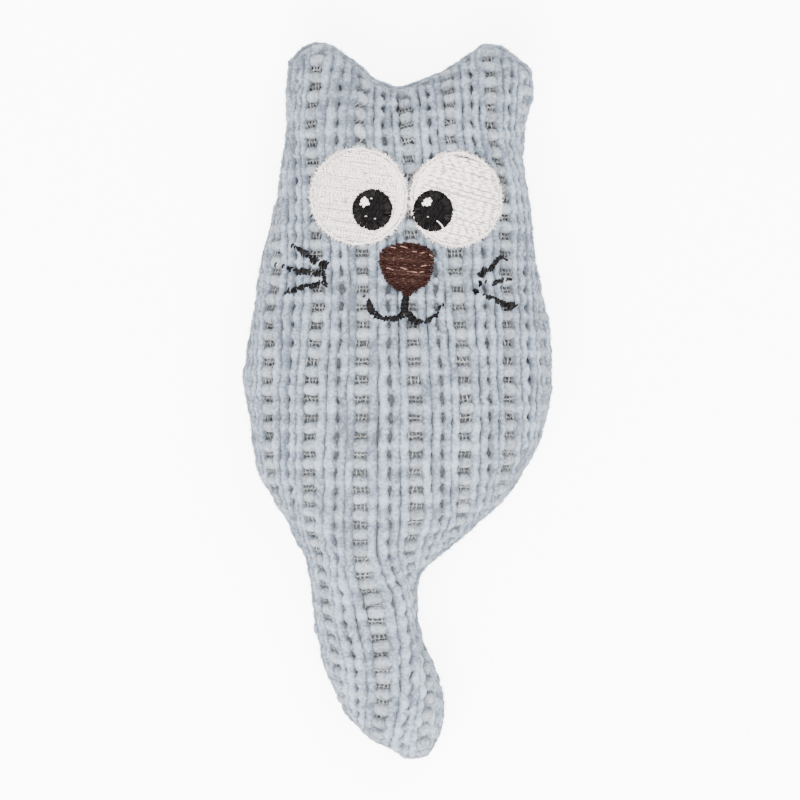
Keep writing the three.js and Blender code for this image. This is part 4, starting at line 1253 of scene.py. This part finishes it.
def fleck_stitches(disc, count, way, seed):
    """Short stitches that break up the rows of an eye's filling."""
    local = np.random.default_rng(seed)
    lines = []
    for _ in range(count):
        share, turn = math.sqrt(local.uniform(0, 0.84)), local.uniform(0, 2 * math.pi)
        angle, reach = way + local.normal(0, 0.5), local.uniform(0.18, 0.34) * MM
        path = bar(*ellipse(disc)(turn, share), reach, angle)
        lines += thread(path, np.array([0.50, 0.68, 0.50]) * MM, 0.13 * MM, local.uniform(0.15, 1.0))
    return lines


# Each eye's rows: angle, pitch, stitch, wave and shade, then its flecks, their angle and the seed
EYE_ROWS = {"left": (-8, 0.50 * MM, 0.70 * MM, 0.012 * MM, 0.90, 700, 80, 61),
            "right": (-16, 0.58 * MM, 1.9 * MM, 0.045 * MM, 0.98, 260, -20, 71)}
# Each eye's rings: inset, lift and radius in millimetres, shade, and reach either way from the nose's side
EYE_RINGS = [(0.12, 0.50, 0.23, 1.0, math.pi), (0.50, 0.26, 0.18, 0.40, math.pi),
             (0.88, 0.62, 0.23, 0.95, 1.5), (1.35, 0.66, 0.24, 0.95, 1.15), (1.80, 0.60, 0.22, 0.85, 0.8)]


def make_eye(side):
    disc = EYES[side]
    angle, pitch, stitch, wave, tint, flecks, fleck_way, seed = EYE_ROWS[side]
    white = pad(side + "_eye_white_pad", ellipse(disc, -0.8 * MM), 0.0, 0.36 * MM, "white_embroidery")
    rows = fill_rows(ellipse(disc, -0.62 * MM), math.radians(angle), pitch, stitch, 0.44 * MM, 0.20 * MM,
                     pitch * 0.58, tint, 0.06, seed, overrun=0.12 * MM, wave=wave)
    rows += fleck_stitches(disc, flecks, math.radians(fleck_way), seed + 40)
    embroider(side + "_eye_white", rows, "white_embroidery", white, (2.6e6, seed, 0.34 * MM, 0.065 * MM),
              PUPILS[side])
    towards_nose = 0 if side == "left" else math.pi
    rings = hem_stitches(disc, seed + 20)
    for inset, lift, radius, shade, reach in EYE_RINGS:
        rings += ring_lines(disc, inset * MM, lift * MM, radius * MM, shade, seed + int(inset * 10),
                            (towards_nose - reach, towards_nose + reach))
    embroider(side + "_eye_edging", rings, "white_embroidery", None, (6e6, seed, 1.0 * MM, 0.055 * MM),
              PUPILS[side])


RIM_THREADS = 66


def make_pupil(side, seed):
    disc = PUPILS[side]
    local = np.random.default_rng(seed)
    base = pad(side + "_pupil_pad", ellipse(disc, -0.3 * MM), 0.55 * MM, 1.05 * MM, "black_embroidery",
               5, 32)
    rows = fill_rows(ellipse(disc, -1.2 * MM), math.radians(62), 0.42 * MM, 1.9 * MM, 1.10 * MM, 0.2 * MM,
                     0.23 * MM, 0.35, 0.08, seed + 1)
    for k in range(RIM_THREADS):
        angle = 2 * math.pi * k / RIM_THREADS + local.normal(0, 0.01)
        inner, outer = 1.38 * MM + local.normal(0, 0.08) * MM, -0.06 * MM - local.uniform(-0.08, 0.16) * MM
        path = [ellipse(disc, -inner + (inner - outer) * t)(angle + 0.08 * (t - 0.5), 1)
                for t in (0, 0.3, 0.7, 1)]
        rows += thread(path, np.array([1.05, 1.3, 1.2, 0.75]) * MM, 0.215 * MM, 0.35 + local.normal(0, 0.2))
    embroider(side + "_pupil", rows, "black_embroidery", base)


HIGHLIGHT_THREADS = 13


def make_highlight(side, centre, dots, nicks, seed):
    """The white star of a pupil, with its small dots and the nick in its rim."""
    local = np.random.default_rng(seed)
    cx, cy = place_of(*centre)
    lines = []
    for k in range(HIGHLIGHT_THREADS):
        angle = 2 * math.pi * k / HIGHLIGHT_THREADS + local.normal(0, 0.12)
        reach = local.uniform(0.64, 1.20) * MM
        c, s = math.cos(angle), math.sin(angle)
        path = [(cx + reach * share * c, cy + reach * share * s) for share in (-0.2, 0.5, 1)]
        lines += thread(path, np.array([1.62, 1.60, 1.38]) * MM, 0.27 * MM, 0.75 + local.normal(0, 0.15))
    for px, py, size in dots:
        x, y = place_of(px, py)
        lines += thread([(x - size * MM, y), (x, y + 0.05 * MM), (x + size * MM, y)],
                        np.array([1.36, 1.46, 1.36]) * MM, 0.13 * MM, 0.42)
    for path in nicks:
        lines += thread([place_of(*p) for p in path], 1.40 * MM, 0.145 * MM, 0.80)
    embroider(side + "_highlight", lines, "white_embroidery")


NOSE_OUTLINE = [(433, 261), (432, 253), (427, 249), (420, 245.5), (412, 244), (400, 245), (391, 247),
                (384, 250), (380, 255), (380, 264), (382, 271), (385, 279), (390, 285.5), (397, 290),
                (403, 294), (404, 297), (411, 297), (412, 292.5), (420, 289), (427, 285), (430, 279),
                (432, 271)]
# Each paler stitch of the nose: place and length in pixels, and angle
NOSE_LIGHTS = [(394, 249, 8, -12), (403, 248, 9, -14), (414, 253, 9, -4), (423, 254, 7, 12),
               (389, 270, 9, -14), (404, 270, 10, -18), (413, 273.5, 8, -3), (421, 273.5, 8, 10),
               (425, 267, 9, 8), (431, 257, 4, -30)]


def make_nose():
    rim = np.array([place_of(*p) for p in NOSE_OUTLINE])
    centre = rim.mean(axis=0)
    turns = np.arctan2(*(rim - centre).T[::-1]) % (2 * math.pi)
    order = np.argsort(turns)
    angles = np.concatenate([turns[order] + lap * 2 * math.pi for lap in (-1, 0, 1)])
    reaches = np.tile(np.linalg.norm(rim - centre, axis=1)[order], 3)

    def outline(angle, share):
        reach = float(np.interp(angle % (2 * math.pi), angles, reaches)) * share
        return centre[0] + reach * math.cos(angle), centre[1] + reach * math.sin(angle)

    base = pad("nose_pad", lambda angle, share: outline(angle, share * 0.93), 0.0, 0.42 * MM,
               "brown_embroidery", 6, 36)
    rows = fill_rows(outline, math.radians(-5), 0.46 * MM, 1.5 * MM, 0.55 * MM, 0.28 * MM, 0.24 * MM,
                     0.028, 0.015, 41, overrun=0.1 * MM, wave=0.03 * MM)
    for px, py, length, angle in NOSE_LIGHTS:
        path = bar(*place_of(px, py), length / 2 * PIXEL, math.radians(angle))
        rows += thread(path, np.array([0.50, 0.74, 0.50]) * MM, 0.12 * MM, 0.52)
    embroider("nose", rows, "brown_embroidery", base, (5e6, 41, 0.40 * MM, 0.05 * MM))


# Black lines, as places and widths in pixels
MOUTH_STEM = [(405.5, 296, 7), (405, 302, 8), (404.5, 308, 8), (404, 314, 9)]
MOUTH_CURVES = [
    [(364.5, 297, 3), (367, 298, 3), (369.5, 299.5, 4), (369.6, 304, 6), (370.5, 309, 7),
     (375, 315, 7.5), (379, 317, 7), (382, 318.5, 3.5), (385, 319.5, 5.5), (389, 318, 3),
     (392, 318, 5.5), (395, 318.5, 7), (399, 318.5, 6), (402, 315, 7)],
    [(408, 313, 7), (411, 318.5, 7), (415, 322, 6.5), (420, 322.5, 5.5), (423.5, 322, 1.5),
     (425.5, 322, 3), (428.5, 321, 6), (431, 318, 2), (433, 316, 3), (436.5, 315.5, 3),
     (438.3, 312.5, 3), (437.5, 310, 1), (439.5, 307, 3.5), (441.5, 306, 1.5), (443.5, 305, 4)],
]
WHISKERS = {
    "left": [
        [(292.5, 245.5, 4.5), (296.2, 246.5, 4), (297.5, 247.5, 2), (299.5, 249.5, 5), (302, 251, 3.5),
         (305.2, 253.8, 9), (309, 256, 5), (313.5, 260.5, 8.5), (318, 262.5, 6.5), (323, 265, 9.5),
         (327.5, 265.8, 8)],
        [(276.5, 264.5, 6), (278, 264.7, 1), (282.7, 265.7, 1), (283.7, 265.9, 5.5), (285, 266, 1),
         (288, 267.8, 1), (288.6, 268, 5), (289.5, 268.3, 1), (292, 269.2, 6.5), (294, 269.5, 1.5),
         (297, 269.8, 3.5), (300.3, 272.5, 9), (304.5, 271.5, 5), (308.5, 272.7, 8), (312, 273, 1),
         (315.5, 274.3, 7.5), (320, 275, 7.5), (324.5, 274, 5)],
        [(326, 279, 4), (321, 282.3, 6.5), (317, 284.5, 3.5), (312.2, 285.9, 7), (307.5, 285.5, 2),
         (302.2, 287.6, 5.5), (298, 289, 4), (294.3, 291.3, 8.5), (290, 291, 6.5), (288, 292.5, 1.5),
         (285.8, 293.8, 4)],
        [(323.8, 275, 4), (325, 280, 4.5), (325.8, 286.5, 3)],
    ],
    "right": [
        [(478.2, 276.5, 6), (480.5, 275, 7), (482.5, 272.5, 3), (484.8, 270, 8.5), (488, 270.5, 4),
         (490.6, 269, 7), (493, 265, 5), (496.8, 260.5, 4.5), (501, 257, 3), (504, 258.5, 2.8),
         (506.5, 261, 3)],
        [(479, 284, 7.5), (480.2, 283.8, 7.5), (481.5, 283, 1), (483.5, 282, 1), (485.2, 281.8, 4),
         (487.5, 282.5, 1), (491, 284, 1), (493, 283.4, 5), (497, 281.8, 4), (501.8, 280.5, 5),
         (505, 280, 4), (508, 279.5, 1.8), (511.4, 280, 4.5)],
        [(476.4, 290.5, 5), (475.6, 293.5, 6.5), (477.5, 294, 1), (480.5, 295, 1), (482.7, 295.4, 3.2),
         (486, 296, 3), (489.3, 298.4, 6.5), (493.5, 297, 1.8), (498, 301, 6.5), (501.8, 303.8, 6),
         (505, 303.3, 6.5), (508.5, 306.3, 8.5), (514, 304.8, 7), (515.5, 306.5, 5)],
    ],
}


def make_mouth():
    lines = satin(MOUTH_STEM, 0.38 * MM, 0.25 * MM, 0.22 * MM, 51, sink=0)
    for number, path in enumerate(MOUTH_CURVES):
        lines += satin(path, 0.38 * MM, 0.20 * MM, 0.22 * MM, 52 + number, lean=0.15 * MM, rag=0.2 * MM)
    embroider("mouth", lines, "black_embroidery")


def make_whiskers(side, seed):
    lines = []
    for number, path in enumerate(WHISKERS[side]):
        lines += satin(path, 0.40 * MM, 0.18 * MM, 0.21 * MM, seed + number, lean=0.15 * MM, rag=0.2 * MM)
    embroider(side + "_whiskers", lines, "black_embroidery")


for side in ("left", "right"):
    make_eye(side)
make_pupil("left", 81)
make_pupil("right", 91)
make_highlight("left", (365.4, 202.4), [(372, 199, 0.2), (366.7, 217.6, 0.22), (375.5, 220, 0.16)], [], 101)
make_highlight("right", (426.7, 202.8), [(427.4, 218, 0.1)],
               [[(436, 222), (438.5, 224), (441, 227), (442.5, 230)]], 111)
make_nose()
make_mouth()
make_whiskers("left", 121)
make_whiskers("right", 131)

# Seam stitches round the rim

RIM_MARGIN = 1.0 * MM
# Radius and slant, then pitch in millimetres, of the hand-sewn stitches and of the others
HAND_STITCH, MACHINE_STITCH = (0.36 * MM, 0.8 * MM, 2.0), (0.28 * MM, 0.45 * MM, 1.9)
# How deep a stitch sinks into the lip in its middle, and how much deeper at its ends, in millimetres
STITCH_SINK, STITCH_END_SINK = 0.40, 0.75


def rim_path():
    """Front and back places and the way out round the rim, from the right ear's corner over the ears and
    down the left."""
    order = [(0, i) for i in range(COLUMNS, 0, -1)] + [(j, 0) for j in range(ROWS)]
    order += [(ROWS, i) for i in range(COLUMNS)] + [(j, COLUMNS) for j in range(ROWS, 0, -1)]
    at = tuple(np.array(order).T)
    out = front.normals[at] + back.normals[at]
    out[:, 2] = 0
    return front.points[at], back.points[at], smooth(unit(out), 2, True)


def stitch_groups():
    """Overcast stitches by the CAD thread that each stands for."""
    f, b, out = rim_path()
    middle = (f + b) / 2
    arc = arc_of(middle)
    gap_low, gap_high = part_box("closing_stitch")
    flank_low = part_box("flank_seam_thread")[0]
    local = np.random.default_rng(141)
    groups = {"body_seam_thread": [], "flank_seam_thread": [], "tail_seam_thread": [], "closing_stitch": []}
    at = RIM_MARGIN
    while at < arc[-1] - RIM_MARGIN:
        spot = line_at(at, arc, middle)
        closing = spot[0] < 0 and gap_low.y < spot[1] < gap_high.y
        if spot[1] < TAIL_ROOT:
            name = "tail_seam_thread"
        elif closing:
            name = "closing_stitch"
        elif spot[0] < 0 and flank_low.y < spot[1] < gap_low.y:
            name = "flank_seam_thread"
        else:
            name = "body_seam_thread"
        radius, slant, pitch = HAND_STITCH if closing else MACHINE_STITCH
        points = []
        for share in (-1, -0.5, 0, 0.5, 1):
            way, rim, lip = (line_at(at + share * slant, arc, line)
                             for line in (out, middle, f if share > 0 else b))
            bow = rim + (lip - rim) * abs(share) * 0.9
            points.append(bow - way * (STITCH_SINK + STITCH_END_SINK * abs(share) ** 2) * MM)
        groups[name].append((np.array(points), radius, local.normal(0.6, 0.12), line_at(at, arc, out)))
        at += pitch * MM * local.normal(1, 0.08)
    return groups


def in_body(piece):
    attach(piece, "body")


for name, lines in stitch_groups().items():
    label = name.replace("_thread", "").replace("closing_stitch", "closing_gap")
    piece = sweep(label + "_stitches", lines, *THREAD_ROUND, 17, fabrics["seam_thread"])
    (in_body if name == "closing_stitch" else cross_joint)(piece)
    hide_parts(name)

# What is inside

# Each padded piece: the CAD solid, what it moves with, its finish, height and size of its lumps, its
# slot and how full it is. The fibre filling is baked in place like the knit round it over the tail's root.
FILLING = {
    "front_fibre": ("front_stuffing", cross_joint, "polyester_fibre", 0.25 * MM, 3 * MM, "filling", 0.8),
    "back_fibre": ("back_stuffing", cross_joint, "polyester_fibre", 0.25 * MM, 3 * MM, "filling", 0.8),
    "tail_fibre": ("tail_stuffing", cross_joint, "polyester_fibre", 0.25 * MM, 3 * MM, "filling", 0.8),
    "pouch_front": ("catnip_sachet_front", in_body, "muslin_cloth", 0.08 * MM, 2 * MM, "muslin", 0.5),
    "pouch_back": ("catnip_sachet_back", in_body, "muslin_cloth", 0.08 * MM, 2 * MM, "muslin", 0.5),
    "pouch_leaves": ("catnip_filling", in_body, "dried_leaf", 0.3 * MM, 1.5 * MM, "catnip", 0.6),
}
BACKING_DEPTH, BACKING_STEPS = 2.75 * MM, 24


def soft_copy(name, node, place_on, finish, lumps, lump_size, slot, fill):
    """A closed soft piece in the room of a CAD solid, finer and uneven."""
    mesh = frame["nodes"][node].data.copy()
    mesh.materials.clear()
    mesh.materials.append(fabrics[finish])
    shape = bmesh.new()
    shape.from_mesh(mesh)
    bmesh.ops.remove_doubles(shape, verts=shape.verts, dist=1e-6)
    bmesh.ops.subdivide_edges(shape, edges=shape.edges, cuts=1, use_grid_fill=True)
    shape.normal_update()
    for vertex in shape.verts:
        vertex.co += vertex.normal * (noise.noise(vertex.co / lump_size) - 0.6) * lumps
    for polygon in shape.faces:
        polygon.smooth = True
    shape.to_mesh(mesh)
    shape.free()
    piece = placed(name, mesh)
    place_on(piece)
    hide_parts(node)


def make_backing():
    """The stabiliser sheet under the embroidered knit."""
    low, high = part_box("embroidery_backing")
    side = BACKING_STEPS + 1
    points = [on_face(x, y, 0) - Vector((0, 0, BACKING_DEPTH))
              for y in np.linspace(low.y, high.y, side) for x in np.linspace(low.x, high.x, side)]
    faces = cells(np.arange(side * side).reshape(side, side)).tolist()
    sheet = mesh_object("stabiliser_sheet", points, faces, material=fabrics["muslin_cloth"])
    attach(sheet, "body")
    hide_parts("embroidery_backing")


for name, values in FILLING.items():
    soft_copy(name, *values)
make_backing()
